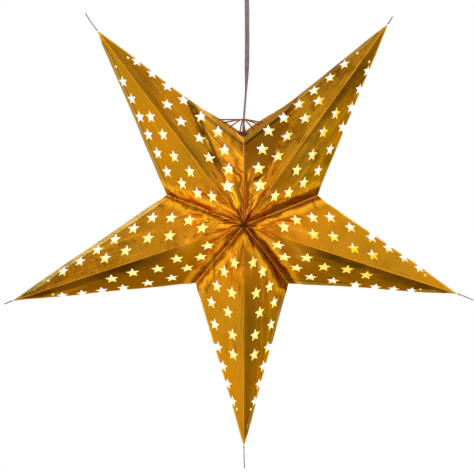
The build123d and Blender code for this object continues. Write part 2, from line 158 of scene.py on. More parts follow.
class Finish:
    """A material while it is being made."""

    def __init__(self, name):
        self.material = bpy.data.materials.new(name)
        self.material.use_nodes = True
        self.tree = self.material.node_tree
        self.tree.nodes.clear()

    @classmethod
    def of_tree(cls, tree):
        """The same tools for the room's own nodes."""
        finish = cls.__new__(cls)
        finish.tree = tree
        tree.nodes.clear()
        return finish

    def node(self, kind, settings, sockets, output=0):
        """Adds one node, and gives its chosen output."""
        node = self.tree.nodes.new(kind)
        for name, value in settings.items():
            setattr(node, name, value)
        for name, value in sockets.items():
            if isinstance(value, Wire):
                self.tree.links.new(value.socket, node.inputs[name])
            else:
                node.inputs[name].default_value = value
        return Wire(self, node.outputs[output]) if node.outputs else None

    def maths(self, operation, *values):
        """A sum that Python has no operator for."""
        return self.node("ShaderNodeMath", {"operation": operation}, dict(enumerate(values)))

    def vector_maths(self, operation, *values, output="Value"):
        """A sum of vectors that gives a number, or a vector where that output is asked for."""
        sockets = dict(enumerate(values))
        return self.node("ShaderNodeVectorMath", {"operation": operation}, sockets, output)

    def place(self):
        """Where a surface point is in the lantern's own frame, in metres."""
        return self.node("ShaderNodeTexCoord", {}, {}, output="Object")

    def split(self, vector):
        """A vector's x, y and z."""
        node = self.tree.nodes.new("ShaderNodeSeparateXYZ")
        self.tree.links.new(vector.socket, node.inputs[0])
        return [Wire(self, socket) for socket in node.outputs]

    def join(self, x, y, z):
        """A vector from its x, y and z."""
        return self.node("ShaderNodeCombineXYZ", {}, {0: x, 1: y, 2: z})

    def painted(self, name):
        """A number that the mesh carries."""
        return self.node("ShaderNodeAttribute", {"attribute_name": name}, {}, output="Fac")

    def noise(self, scale, detail=3.0, vector=None):
        """Cloudy noise from 0 to 1."""
        sockets = {"Vector": vector or self.place(), "Scale": scale, "Detail": detail}
        sockets["Roughness"] = NOISE_ROUGHNESS
        return self.node("ShaderNodeTexNoise", {}, sockets)

    def blend(self, share, first, second):
        """One colour that turns into another as share goes from 0 to 1."""
        sockets = {MIX_SHARE: share, MIX_FIRST: with_alpha(first), MIX_SECOND: with_alpha(second)}
        return self.node("ShaderNodeMix", {"data_type": "RGBA"}, sockets, output=MIX_COLOUR)

    def bump(self, height, distance):
        """A normal that leans as the height says, which is in shares of the distance in metres."""
        return self.node("ShaderNodeBump", {}, {"Height": height, "Distance": distance})

    def surface(self, **sockets):
        """The closing shader. An underscore in a name stands for a space."""
        named = {name.replace("_", " "): with_alpha(value) for name, value in sockets.items()}
        shader = self.node("ShaderNodeBsdfPrincipled", {}, named)
        self.node("ShaderNodeOutputMaterial", {}, {"Surface": shader})
        return self.material


print("finish methods", [name for name in vars(Finish) if not name.startswith("_")])

# %% [markdown]
# ## Lines and sweeps
# Cord, thread and wire are all one shape: a small section carried along a line. Blender's own
# curves could bevel it, but a cord must twist and a wire must bend sharply, so the rings are laid
# one by one, each square to the line and turned to a width direction that is asked for.

# %% Lines and sweeps
SPLINE_ORDER = 3


def line_along(name, points, resolution):
    """The points of a smooth spline led by a few route points, and the curve is thrown away."""
    curve = bpy.data.curves.new(name, "CURVE")
    curve.dimensions = "3D"
    curve.resolution_u = resolution
    spline = curve.splines.new("NURBS")
    spline.points.add(len(points) - 1)
    for point, place in zip(spline.points, points):
        point.co = (*place, 1)
    spline.order_u = SPLINE_ORDER
    spline.use_endpoint_u = True
    holder = bpy.data.objects.new(name, curve)
    mesh = bpy.data.meshes.new_from_object(holder)
    line = [vertex.co.copy() for vertex in mesh.vertices]
    bpy.data.objects.remove(holder)
    bpy.data.curves.remove(curve)
    bpy.data.meshes.remove(mesh)
    return line


def link_mesh(name, points, faces):
    """A new object from points and faces."""
    mesh = bpy.data.meshes.new(name)
    mesh.from_pydata([tuple(point) for point in points], [], faces)
    mesh.update()
    piece = bpy.data.objects.new(name, mesh)
    scene.collection.objects.link(piece)
    return piece


def ring_faces(low, high, sides):
    """The faces between two rings of a sweep, which start at the given points."""
    found = []
    for side in range(sides):
        after = (side + 1) % sides
        found.append((low + side, high + side, high + after, low + after))
    return found


def sweep(line, section, sides, across):
    """Rings of a section along a line, closed at both ends. across gives each ring's width."""
    points = []
    faces = []
    for i, place in enumerate(line):
        ahead = line[min(i + 1, len(line) - 1)] - line[max(i - 1, 0)]
        ahead.normalize()
        wide = across(place)
        wide = (wide - ahead * wide.dot(ahead)).normalized()
        thick = ahead.cross(wide)
        for side in range(sides):
            u, v = section(side)
            points.append(place + wide * u + thick * v)
    for i in range(len(line) - 1):
        faces += ring_faces(i * sides, (i + 1) * sides, sides)
    faces.append(tuple(range(sides)))
    faces.append(tuple(range(len(points) - 1, len(points) - 1 - sides, -1)))
    return points, faces


def round_section(radius, sides):
    """A round section's points, asked for one by one."""
    def point(side):
        turn = 2 * math.pi * side / sides
        return radius * math.cos(turn), radius * math.sin(turn)
    return point


def add_strand(points, faces, line, radius, sides, across):
    """Adds one round strand to the points and faces of a piece."""
    first = len(points)
    new_points, new_faces = sweep(line, round_section(radius, sides), sides, lambda place: across)
    points += new_points
    faces += [tuple(first + i for i in face) for face in new_faces]


print("a square section has corners", [round_section(1.0, 4)(side)[0] for side in (0, 2)])

# %% [markdown]
# ## The cord
# The cord is a flat twin flex, 6.2 mm wide and half as thick. It leaves the rose with its wide
# face to the front, bows a little to the right, and turns its narrow side to the front before it
# drops into the lamp holder. A smooth spline carries the route, and the flat section rides along it.

# %% Cord
CORD_WIDTH = 6.2 * MM
CORD_THICKNESS = 3.1 * MM
CORD_ROUTE = [
    (0, 0, -42), (4.2, 0, -92), (5.0, 0, -142), (5.2, 0, -187),
    (4.2, 0, -226), (1.2, 0, -262), (0, 0, -294),
]
CORD_TWIST_FROM = -0.180
CORD_TWIST_TO = -0.240
CORD_SIDES = 24
CORD_STEPS = 24
LOBE_SQUARENESS = 0.8
GROOVE_DEPTH_SHARE = 0.30
GROOVE_WIDTH_SHARE = 0.42


def twin_section(side):
    """One point of the flat twin section: two round lobes that meet in a groove."""
    turn = 2 * math.pi * side / CORD_SIDES
    wide = abs(math.cos(turn)) ** LOBE_SQUARENESS * math.copysign(1, math.cos(turn))
    groove = 1 - GROOVE_DEPTH_SHARE * max(0.0, 1 - abs(wide) / GROOVE_WIDTH_SHARE)
    return CORD_WIDTH / 2 * wide, CORD_THICKNESS / 2 * math.sin(turn) * groove


def smooth(value, low, high):
    """0 below low, 1 above high, and smooth between."""
    share = min(1.0, max(0.0, (value - low) / (high - low)))
    return share * share * (3 - 2 * share)


def cord_wide_direction(place):
    """The wide face turns from the front to the side over a short stretch."""
    turn = math.pi / 2 * smooth(place.z, CORD_TWIST_FROM, CORD_TWIST_TO)
    return Vector((math.cos(turn), math.sin(turn), 0))


cord_line = line_along("cord_line", [Vector(point) * MM for point in CORD_ROUTE], CORD_STEPS)
cord_points, cord_faces = sweep(cord_line, twin_section, CORD_SIDES, cord_wide_direction)
flex = link_mesh("flat_flex", cord_points, cord_faces)
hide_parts("cord")
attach(flex, "pendant")
print("cord points", len(cord_line))

# %% [markdown]
# ## The star's folds
# Each point is one sheet with four flat panels: a ridge in front and behind, and two long edges.
# Neighbouring points meet in valleys that run from the notches to the middle. The two upper points
# part above their valley, which makes the mouth for the lamp. The corners below are the same
# places as in the measured frame, measured from the star's middle.

# %% Corners and panels
STAR_MIDDLE = Vector((0, 0, -0.400))
NOTCH_RADIUS = 107 * MM
HALF_DEPTH = 85 * MM
MOUTH_LENGTH = 94 * MM
MOUTH_HALF_OPENING = 36 * MM
MOUTH_CUT = 15 * MM
MOUTH_BOW_SHARE = 0.945
RIM_REACH = math.hypot(NOTCH_RADIUS, HALF_DEPTH) - MOUTH_CUT
RIM_HEIGHT = math.sqrt(RIM_REACH**2 - (HALF_DEPTH - MOUTH_HALF_OPENING) ** 2)
HALF_STEP = 36
VALLEY_TURNS = (72, 144, -144, -72)
FACES = ((-1, "front"), (1, "back"))
SIDES = (-1, 1)
# Each point: its turn and its lean in degrees, its reach, and its two halves in clockwise order
POINTS = {
    "upper_left": (-36, -1.7, 319.5 * MM, "left", "right"),
    "upper_right": (36, 0.3, 327 * MM, "left", "right"),
    "right": (108, 0.9, 312 * MM, "upper", "lower"),
    "bottom": (180, -0.7, 312 * MM, "right", "left"),
    "left": (-108, -1.7, 331 * MM, "lower", "upper"),
}
LAPPED_EDGES = ["upper_left left", "upper_right left", "right lower", "bottom right", "left upper"]
CLEAR_EDGES = ["upper_left left", "upper_right left", "left upper"]


def ray(turn, radius):
    """A place in the star's middle plane, turned clockwise from straight up."""
    return Vector((radius * math.sin(math.radians(turn)), 0, radius * math.cos(math.radians(turn))))


def apex_of(face):
    """Where all the folds meet, in front (-1) or behind (1)."""
    return Vector((0, face * HALF_DEPTH, 0))


def rim_middle(face):
    """The middle of the mouth's rim, in front (-1) or behind (1)."""
    return Vector((0, face * MOUTH_HALF_OPENING, RIM_HEIGHT))


def tip_of(point):
    turn, lean, reach = POINTS[point][:3]
    return ray(turn + lean, reach)


def rim_corner(side):
    """Where an upper point's long edge starts to part, left (-1) or right (1) of the mouth."""
    notch = ray(0, NOTCH_RADIUS)
    tip = tip_of("upper_left" if side < 0 else "upper_right")
    return notch + (tip - notch).normalized() * MOUTH_LENGTH


def panels_of(point):
    """Each flat panel of a point: its node's last words, three corners, and its own directions."""
    turn = POINTS[point][0]
    tip = tip_of(point)
    found = []
    for face, face_name in FACES:
        apex = apex_of(face)
        for side, side_name in zip(SIDES, POINTS[point][3:]):
            notch = ray(turn + side * HALF_STEP, NOTCH_RADIUS)
            frame_of = {"apex": apex, "ridge": tip - apex, "valley": notch - apex}
            frame_of["edge"] = f"{point} {side_name}"
            frame_of["face"] = face
            if turn + side * HALF_STEP == 0:
                corner = rim_corner(-side)
                rim = rim_middle(face)
                found.append((f"{face_name}_{side_name}", (apex, tip, corner), frame_of))
                crease_share = MOUTH_LENGTH / (tip - notch).length
                leaning = (rim - apex).normalized() * (notch - apex).length * MOUTH_BOW_SHARE
                bent = dict(frame_of, valley=leaning)
                bent["ridge"] = (corner - apex - leaning * (1 - crease_share)) / crease_share
                found.append((f"{face_name}_mouth", (apex, corner, rim), bent))
            else:
                found.append((f"{face_name}_{side_name}", (apex, tip, notch), frame_of))
    return found


all_panels = {point: panels_of(point) for point in POINTS}
print("panels", {point: len(panels) for point, panels in all_panels.items()})

# %% [markdown]
# ## The punched stars
# The holes are five-pointed stars, each with one point towards the lantern's middle, punched
# through the flat sheet. Their places are kept as shares of a panel's ridge and of its valley, so
# that they follow the panel wherever its corners go. Some rows lie so near a long edge that they
# wrap over the fold.

# %% Hole places
HOLE_RADIUS = 9.5 * MM
TIP_SIDE_HOLE_RADIUS = 8.7 * MM
TIP_HOLE_RADIUS = 3.0 * MM
FULL_SIZE_IN_ROW = 4
HOLE_WAIST_SHARE = 0.45
CLEAR_ROW_SHARES = [
    (0.171, 0.665), (0.279, 0.585), (0.387, 0.500), (0.491, 0.415), (0.600, 0.310), (0.700, 0.230),
]
WRAPPED_ROW_SHARES = [
    (0.171, 0.665), (0.288, 0.600), (0.408, 0.535), (0.520, 0.440), (0.625, 0.345), (0.730, 0.245),
]
VALLEY_ROW_SHARES = [(0.113, 0.190), (0.100, 0.400), (0.127, 0.550)]
RIDGE_ROW_SHARES = [(0.234, 0.240), (0.300, 0.320), (0.426, 0.225), (0.519, 0.215)]
TIP_HOLE_SHARE = (0.790, 0.150)


def outward_normal(corners):
    """A panel's normal, away from the star's middle."""
    normal = (corners[1] - corners[0]).cross(corners[2] - corners[0]).normalized()
    return normal if normal.dot(corners[0]) > 0 else -normal


def star_outline(centre, towards, normal, radius):
    """Ten points of a punched star, flat in its panel."""
    along = (towards - normal * towards.dot(normal)).normalized()
    across = normal.cross(along)
    outline = []
    for i in range(10):
        reach = radius if i % 2 == 0 else radius * HOLE_WAIST_SHARE
        turn = math.radians(HALF_STEP * i)
        outline.append(centre + along * reach * math.cos(turn) + across * reach * math.sin(turn))
    return outline


def holes_of(panel_frame):
    """The outlines of every hole of a panel, and of its mouth part too."""
    row = CLEAR_ROW_SHARES if panel_frame["edge"] in CLEAR_EDGES else WRAPPED_ROW_SHARES
    sized = [(shares, HOLE_RADIUS) for shares in row[:FULL_SIZE_IN_ROW]]
    sized += [(shares, TIP_SIDE_HOLE_RADIUS) for shares in row[FULL_SIZE_IN_ROW:]]
    sized += [(shares, HOLE_RADIUS) for shares in VALLEY_ROW_SHARES + RIDGE_ROW_SHARES]
    sized.append((TIP_HOLE_SHARE, TIP_HOLE_RADIUS))
    ridge, valley = panel_frame["ridge"], panel_frame["valley"]
    normal = ridge.cross(valley).normalized()
    outlines = []
    for (along_ridge, along_valley), radius in sized:
        centre = panel_frame["apex"] + ridge * along_ridge + valley * along_valley
        outlines.append(star_outline(centre, -ridge, normal, radius))
    return outlines


print("holes on a panel", len(holes_of(all_panels["left"][0][2])))

# %% [markdown]
# ## How the foil has crumpled
# Real foil paper is never flat. It bulges a little between its folds, and where ten panels meet
# near the middle it has creased into streaks that run to the centre. One height, worked out from a
# place in space alone, moves every panel, so neighbours that share a fold stay joined. It fades out
# at the corners, where the real sheet is held. Pairs of numbers below are in millimetres.

# %% Crumple height
CORNERS_HELD = 12 * MM
BULGE = 1.3 * MM
STREAK = 2.6 * MM
RIPPLE = 0.30 * MM
STREAKS_BEGIN, STREAKS_END = (4, 26), (62, 112)
VALLEY_BELT, WIDE_VALLEY_BELT, VALLEY_HELD = (8, 26), (10, 40), (0, 11)
CREASE_BELT, CREASE_BEGIN = (2, 9), (50, 80)
rim_lines = [(rim_corner(side), rim_middle(face)) for side in SIDES for face, _ in FACES]
mouth_creases = [(apex_of(face), rim_corner(side)) for side in SIDES for face, _ in FACES]
valley_ends = [ray(turn, NOTCH_RADIUS) for turn in VALLEY_TURNS]
valley_lines = [(apex_of(face), notch) for notch in valley_ends for face, _ in FACES]
held_corners = [apex_of(face) for face, _ in FACES] + [tip_of(point) for point in POINTS]
held_corners += valley_ends + [rim_corner(side) for side in SIDES]
held_corners += [rim_middle(face) for face, _ in FACES]


def beyond(value, near, far):
    """0 up to near and 1 past far, both in millimetres."""
    return smooth(value, near * MM, far * MM)


def line_distance(place, line):
    """How far a place is from a straight stretch."""
    start, end = line
    along = end - start
    share = min(1.0, max(0.0, (place - start).dot(along) / along.length_squared))
    return (place - start - along * share).length


def nearest(place, lines):
    """How far a place is from the nearest of some straight stretches."""
    return min(line_distance(place, line) for line in lines)


def radial_streaks(place):
    """Creases that run to the star's middle, about -0.6 to 2 in height."""
    reach = Vector((place.x, 0, place.z)).length
    heading = Vector((place.x, 0, place.z)) / max(reach, MM)
    face_side = max(-1.0, min(1.0, place.y / (20 * MM)))
    fan = Vector((heading.x * 3.6, reach * 22 + face_side * 1.6, heading.z * 3.6))
    streak = abs(noise.noise(fan)) * 2 - 0.45
    return streak + (0.6 * abs(noise.noise(fan * 2.1)) - 0.15)


def crumple(place):
    """How far the foil stands out at a place on the star's flat form."""
    from_apex = (place - apex_of(math.copysign(1, place.y))).length
    valley = nearest(place, valley_lines)
    crease = nearest(place, mouth_creases)
    near_middle = beyond(from_apex, *STREAKS_BEGIN) * (1 - beyond(from_apex, *STREAKS_END))
    near_valley = 0.70 * (1 - beyond(valley, *VALLEY_BELT)) * beyond(from_apex, 20, 50)
    near_crease = 0.5 * (1 - beyond(crease, *CREASE_BELT)) * beyond(from_apex, *CREASE_BEGIN)
    around = near_middle * (0.35 + 0.65 * (1 - beyond(valley, *WIDE_VALLEY_BELT)))
    height = STREAK * radial_streaks(place) * max(around, near_valley, near_crease)
    height += BULGE * noise.noise(Vector((place.x * 11, place.y * 14, place.z * 11)))
    height += RIPPLE * noise.noise(place * 42)
    for corner in held_corners:
        height *= smooth((place - corner).length, 0, CORNERS_HELD)
    for line in rim_lines:
        height *= beyond(line_distance(place, line), 0, 9)
    return height * beyond(valley, *VALLEY_HELD)


print("crumple at a place", round(crumple(Vector((0.03, -0.06, 0.02))) / MM, 2), "mm")

# %% [markdown]
# ## The raised back rim
# In the photograph a strip of orange lining shows above the mouth's front rim, so the back rim has
# been pulled up a little. The flat form stays as it is, and the finished sheet is moved: most at
# the rim, and less and less down the back.

# %% Back rim
BACK_LIFT = 4.5 * MM
BACK_LIFT_REACH = 45
BACK_LIFT_DEPTH = (6, 30)


def lifted(place):
    """The mouth's back rim has been pulled a little higher than its front one."""
    if place.y <= 0:
        return place
    near_rim = 1 - beyond(nearest(place, rim_lines), 0, BACK_LIFT_REACH)
    return place + Vector((0, 0, BACK_LIFT * near_rim * beyond(place.y, *BACK_LIFT_DEPTH)))


print("the back rim is lifted", round((lifted(rim_middle(1)) - rim_middle(1)).z / MM, 2), "mm")

# %% [markdown]
# ## A panel as a fine net
# To bend and to hold its holes, a flat panel becomes a net of small triangles. Blender's
# constrained triangulation takes the outline, the stars and a lattice of inner points, and gives
# triangles that keep every outline sharp. Triangles inside a star are left out, and that is the hole.

# %% Flat helpers
NET_PITCH = 3.0 * MM
NET_CLEARANCE = 1.4 * MM
JOIN_WITHIN = 1e-7


def split_line(start, end, pitch):
    """Points from start up to, but not with, end."""
    count = max(1, round((end - start).length / pitch))
    return [start + (end - start) * (i / count) for i in range(count)]


def inside(points, outline):
    """Which flat points lie inside a flat outline."""
    result = np.zeros(len(points), bool)
    x, y = points[:, 0], points[:, 1]
    for (x1, y1), (x2, y2) in zip(outline, np.roll(outline, -1, axis=0)):
        if y1 == y2:
            continue
        crosses = (y1 > y) != (y2 > y)
        result ^= crosses & (x < (x2 - x1) * (y - y1) / (y2 - y1) + x1)
    return result


def clear_of(points, outlines, gap):
    """Which flat points keep a gap from every outline's sides."""
    keep = np.ones(len(points), bool)
    for outline in outlines:
        for start, end in zip(outline, np.roll(outline, -1, axis=0)):
            along = end - start
            share = np.clip((points - start) @ along / (along @ along), 0, 1)
            away = points - start - share[:, None] * along
            keep &= np.hypot(away[:, 0], away[:, 1]) > gap
    return keep


def lattice_in(border, corners, stars, pitch):
    """Evenly spaced flat points that fill an outline, clear of its sides and of the stars."""
    low, high = border.min(axis=0), border.max(axis=0)
    rows = []
    step = pitch * math.sqrt(3) / 2
    for i in range(int((high[1] - low[1]) / step) + 1):
        shift = pitch / 2 * (i % 2)
        rows += [(x, low[1] + i * step) for x in np.arange(low[0] + shift, high[0], pitch)]
    lattice = np.array(rows)
    lattice = lattice[inside(lattice, corners)]
    lattice = lattice[clear_of(lattice, [corners, *stars], NET_CLEARANCE)]
    for star in stars:
        lattice = lattice[~inside(lattice, star)]
    return lattice


square = np.array([(0, 0), (1, 0), (1, 1), (0, 1)]) * 10 * NET_PITCH
print("lattice points in a square of ten steps", len(lattice_in(square, square, [], NET_PITCH)))


# %% Net of triangles
def net(outline, holes, pitch):
    """A flat outline with holes as points and triangles, all in space."""
    origin = outline[0]
    normal = outward_normal(outline)
    across = (outline[1] - origin).normalized()
    up = normal.cross(across)

    def flatten(places):
        return np.array([((p - origin).dot(across), (p - origin).dot(up)) for p in places])

    border = []
    for start, end in zip(outline, outline[1:] + outline[:1]):
        border += split_line(start, end, pitch)
    border = flatten(border)
    corners = flatten(outline)
    stars = [flatten(hole) for hole in holes]
    stars = [star for star in stars if inside(star, corners).any()]
    places, edges = [], []
    for loop in (border, *stars):
        first = len(places)
        places += [*loop]
        edges += [(first + i, first + (i + 1) % len(loop)) for i in range(len(loop))]
    places += [*lattice_in(border, corners, stars, pitch)]
    places = [Vector(place) for place in places]
    found, _, triangles, *_ = delaunay_2d_cdt(places, edges, [], 0, JOIN_WITHIN)
    flat = np.array([tuple(p) for p in found])
    centres = np.array([flat[list(triangle)].mean(axis=0) for triangle in triangles])
    keep = inside(centres, corners)
    for star in stars:
        keep &= ~inside(centres, star)
    kept = [triangle for triangle, wanted in zip(triangles, keep) if wanted]
    points = [origin + across * x + up * y for x, y in flat]
    return points, kept


_, test_corners, test_frame = all_panels["left"][0]
test_points, test_triangles = net(list(test_corners), holes_of(test_frame), NET_PITCH)
print("net of one panel", len(test_points), "points", len(test_triangles), "triangles")

# %% [markdown]
# ## Where each facet bows and darkens
# No two facets of a hand-folded star look alike: some bow out fully, some hardly, and those that
# face the floor get a redder and darker painted shade. A table says it for each facet in front, so
# a reader can change one without hunting for it, and the back takes the usual values.

# %% Facets
BOW = 5.0 * MM
USUAL_FACET = (0.35, 0.15, 0.0)
# Each facet: its share of the fullest bow, its painted shade beside its ridge, and its red painted
# shade all over
FACETS = {
    "upper_left front_mouth": (0.10, 0.0, 0.0),
    "upper_left front_left": (0.10, 0.0, 0.06),
    "upper_left front_right": (0.45, 0.40, 0.18),
    "upper_right front_mouth": (0.35, 0.0, 0.48),
    "upper_right front_left": (0.45, 0.12, 0.15),
    "upper_right front_right": (0.38, 0.75, 0.0),
    "right front_upper": (0.10, 0.05, 0.0),
    "right front_lower": (1.00, 0.95, 0.50),
    "bottom front_right": (0.60, 0.45, 0.15),
    "bottom front_left": (0.15, 0.0, 0.0),
    "left front_lower": (0.90, 1.0, 0.60),
    "left front_upper": (0.20, 0.10, 0.10),
}
LAP_SHADE = -1.0
PAINTED = {
    "from_ridge": "POINT", "from_edge": "POINT", "ridge_shade": "FACE", "facet_shade": "FACE",
}
print("facets with their own look", len(FACETS))

# %% [markdown]
# ## Folding the five points
# Every net point moves out along a direction that turns smoothly from its own panel's normal to the
# mean of two panels at their shared fold, so the folds stay closed. A bow is added to it, widest in
# the middle of a facet. Pushing along the plain normal would be simpler, and would tear the folds.

# %% Moving a net's points
FOLD_ROUNDING = 5 * MM
NEAREST_FOLD = 0.01 * MM
BOW_FULL_AT = 0.25
KEY_DECIMALS = 5


def fold_key(start, end):
    """A name for a fold that both of its panels agree on."""
    ends = (tuple(round(value, KEY_DECIMALS) + 0.0 for value in place) for place in (start, end))
    return tuple(sorted(ends))


fold_directions = {}
for panels in all_panels.values():
    for _, corners, _ in panels:
        for start, end in zip(corners, corners[1:] + corners[:1]):
            key = fold_key(start, end)
            fold_directions[key] = fold_directions.get(key, Vector()) + outward_normal(corners)


def corner_shares(place, corners):
    """How near a place is to each corner of its panel, as three shares that add up to 1."""
    first, second, third = corners
    whole = (second - first).cross(third - first)
    near_second = (place - first).cross(third - first).dot(whole) / whole.length_squared
    near_third = (second - first).cross(place - first).dot(whole) / whole.length_squared
    return 1 - near_second - near_third, near_second, near_third


def bow(place, corners):
    """How far a panel bows out between its folds, as a share of its fullest bow."""
    near_apex, near_tip, near_notch = (max(0.0, share) for share in corner_shares(place, corners))
    across = 4 * near_apex * near_notch / max(near_apex + near_notch, 0.001)
    return across * smooth(near_tip, 0.0, BOW_FULL_AT)


def stand_out(place, corners, normal, extra, fullest_bow):
    """A net point moved to its crumpled place."""
    total = normal / FOLD_ROUNDING
    for start, end in zip(corners, corners[1:] + corners[:1]):
        away = max(line_distance(place, (start, end)), NEAREST_FOLD)
        total = total + fold_directions[fold_key(start, end)].normalized() / away
    bowed = normal * (extra + fullest_bow * bow(place, corners))
    return place + total.normalized() * crumple(place) + bowed


print("folds", len(fold_directions))

# %% [markdown]
# ## Laps, hem and painted numbers
# Along one long edge of a point a glued strip lies over the foil, and the mouth has a turned-over
# hem. Each is a narrow net of its own, a little higher than the panel. Each net also carries its
# distance from the ridge and from the edge, and its facet's shades, for the material to read.

# %% Laps, hem and sheets
LAP_WIDTH = 8 * MM
LAP_RISE = 0.45 * MM
LAP_TIP_GAP = 16 * MM
HEM_WIDTH = 8 * MM
HEM_RISE = 1.3 * MM


def from_line(place, start, end):
    """How far a place is from an endless line."""
    along = (end - start).normalized()
    return (place - start).cross(along).length


def strip_outline(corners, width, start):
    """A strip along a panel's outer edge, from a start on that edge to the panel's last corner."""
    apex, second, third = corners
    share = width / from_line(apex, second, third)
    return [start, third, third + (apex - third) * share, start + (apex - start) * share]


def lap_outline(corners):
    """The glued strip along a long edge, which starts a little short of the tip."""
    _, tip, corner = corners
    return strip_outline(corners, LAP_WIDTH, tip + (corner - tip).normalized() * LAP_TIP_GAP)


def add_net(sheet, nets, corners, extra, fullest_bow, shades):
    """Adds a net's moved points and its triangles to a sheet, turned to face outwards."""
    flat_points, triangles = nets
    normal = outward_normal(corners)
    first = len(sheet["points"])
    for place in flat_points:
        sheet["points"].append(stand_out(place, corners, normal, extra, fullest_bow))
        sheet["from_ridge"].append(from_line(place, *sheet["ridge"]))
        sheet["from_edge"].append(from_line(place, *corners[1:]))
    for a, b, c in triangles:
        turned = (flat_points[b] - flat_points[a]).cross(flat_points[c] - flat_points[a])
        order = (a, b, c) if turned.dot(normal) > 0 else (a, c, b)
        sheet["faces"].append(tuple(first + i for i in order))
        sheet["ridge_shade"].append(shades[0])
        sheet["facet_shade"].append(shades[1])


print("lap corners", len(lap_outline(test_corners)))

# %% [markdown]
# ## Clean edges
# Foil shades smoothly over its bends and breaks sharply at a fold or a cut, so the mesh is smooth
# but for its sharp edges. Where a hole wraps over a fold, the punch frees tiny scraps, and they are
# found as small loose groups of points and taken out.

# %% Sharp edges and scraps
FOLD_ANGLE = math.radians(24)
JOIN_DISTANCE = 0.03 * MM
SCRAP_POINTS = 40


def sharpen(mesh):
    """Smooth shading that breaks at the folds and at every cut edge."""
    mesh.shade_smooth()
    mesh.set_sharp_from_angle(angle=FOLD_ANGLE)
    work = bmesh.new()
    work.from_mesh(mesh)
    for edge in work.edges:
        if edge.is_boundary:
            edge.smooth = False
    work.to_mesh(mesh)
    work.free()


def joined_group(vertex, seen):
    """All points that hang together with one point."""
    group = [vertex]
    seen.add(vertex)
    for member in group:
        for edge in member.link_edges:
            other = edge.other_vert(member)
            if other not in seen:
                seen.add(other)
                group.append(other)
    return group


def drop_scraps(mesh):
    """Takes out the scraps that the punch has cut free, and loose points."""
    work = bmesh.new()
    work.from_mesh(mesh)
    bmesh.ops.remove_doubles(work, verts=work.verts, dist=JOIN_DISTANCE)
    seen = set()
    groups = [joined_group(vertex, seen) for vertex in work.verts if vertex not in seen]
    scraps = [vertex for group in groups if len(group) < SCRAP_POINTS for vertex in group]
    bmesh.ops.delete(work, geom=scraps, context="VERTS")
    work.to_mesh(mesh)
    work.free()
    sharpen(mesh)


print("folds sharper than", round(math.degrees(FOLD_ANGLE)), "degrees")

# %% [markdown]
# ## One sheet for each point
# The panels of one point are joined along their folds into one sheet, and a Solidify modifier gives
# it paper's thickness, with the lining inside and the raw paper on its rim. A second set of slots
# is for the laps, whose cut edge is painted dark as the shadow of the strip's step.

# %% Folded points
PAPER_THICKNESS = 0.4 * MM
LAP_SLOT = 3


def strips_of(point, name, corners, panel_frame, shades):
    """A panel and the strips that lie on it: each one's outline, rise and shades."""
    strips = [(list(corners), 0.0, shades)]
    in_front = panel_frame["face"] < 0
    if in_front and panel_frame["edge"] in LAPPED_EDGES and "mouth" not in name:
        strips.append((lap_outline(corners), LAP_RISE, (LAP_SHADE, 0.0)))
    if name == "front_mouth":
        strips.append((strip_outline(corners, HEM_WIDTH, corners[1]), HEM_RISE, (LAP_SHADE, 0.0)))
    return strips


def folded_point(point):
    """One folded sheet with its holes, its glued laps and its hem."""
    sheet = {"points": [], "faces": []}
    sheet.update({name: [] for name in PAINTED})
    nodes = []
    for name, corners, panel_frame in all_panels[point]:
        holes = holes_of(panel_frame)
        bow_share, *shades = FACETS.get(f"{point} {name}", USUAL_FACET)
        sheet["ridge"] = (panel_frame["apex"], tip_of(point))
        for outline, rise, tones in strips_of(point, name, corners, panel_frame, shades):
            add_net(sheet, net(outline, holes, NET_PITCH), corners, rise, BOW * bow_share, tones)
        nodes.append(f"{point}_point_{name}_panel")
    points = [STAR_MIDDLE + lifted(place) for place in sheet["points"]]
    piece = link_mesh(f"{point}_point", points, sheet["faces"])
    for name, domain in PAINTED.items():
        piece.data.attributes.new(name, "FLOAT", domain).data.foreach_set("value", sheet[name])
    for face, shade in zip(piece.data.polygons, sheet["ridge_shade"]):
        face.material_index = LAP_SLOT if shade == LAP_SHADE else 0
    drop_scraps(piece.data)
    skin = piece.modifiers.new("paper", "SOLIDIFY")
    skin.thickness = PAPER_THICKNESS
    skin.offset = -1
    skin.material_offset = 1
    skin.material_offset_rim = 2
    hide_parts(*nodes)
    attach(piece, "star")
    return piece


folded = {point: folded_point(point) for point in POINTS}
print("triangles", {name: len(piece.data.polygons) for name, piece in folded.items()})

# %% [markdown]
# ## The closing seam
# Along the mouth's front and back two raw paper edges stand up side by side, held by a strip of
# tape. They splay a little where the tape ends. Two wavy grids do it, one for each edge, and they
# are lifted at the back with the sheets that they belong to.

# %% Seam flaps
FLAP_DEPTH = 5 * MM
FLAP_GAP = 0.21 * MM
FLAP_SPLAY = 2.6 * MM
FLAP_LEAN = 0.25 * MM
FLAP_WAVE = 0.25 * MM
FLAP_FOOT = 0.1 * MM
SPLAY_ENDS_AT = 0.62
SEAM_END_GAP = 9 * MM
SEAM_STEPS = 36
FLAP_ROWS = 4


def seam_flap(face, side):
    """One standing edge of the seam as a thin, slightly wavy strip."""
    apex, rim = apex_of(face), rim_middle(face)
    along = (rim - apex).normalized()
    out = Vector((0, face * along.z, abs(along.y)))
    start = apex + along * SEAM_END_GAP
    grid = []
    for i in range(SEAM_STEPS + 1):
        share = i / SEAM_STEPS
        place = start.lerp(rim, share)
        open_share = (1 - smooth(share, 0.0, SPLAY_ENDS_AT)) * (0.75 + 0.25 * side)
        splay = FLAP_LEAN + FLAP_SPLAY * open_share
        wave = FLAP_WAVE * noise.noise(Vector((share * 9, side * 3.0, face * 5.0)))
        for j in range(FLAP_ROWS + 1):
            rise = j / FLAP_ROWS
            sideways = side * (FLAP_GAP + rise * rise * splay) + wave * rise
            grid.append(place + out * (FLAP_FOOT + rise * FLAP_DEPTH) + Vector((sideways, 0, 0)))
    return grid


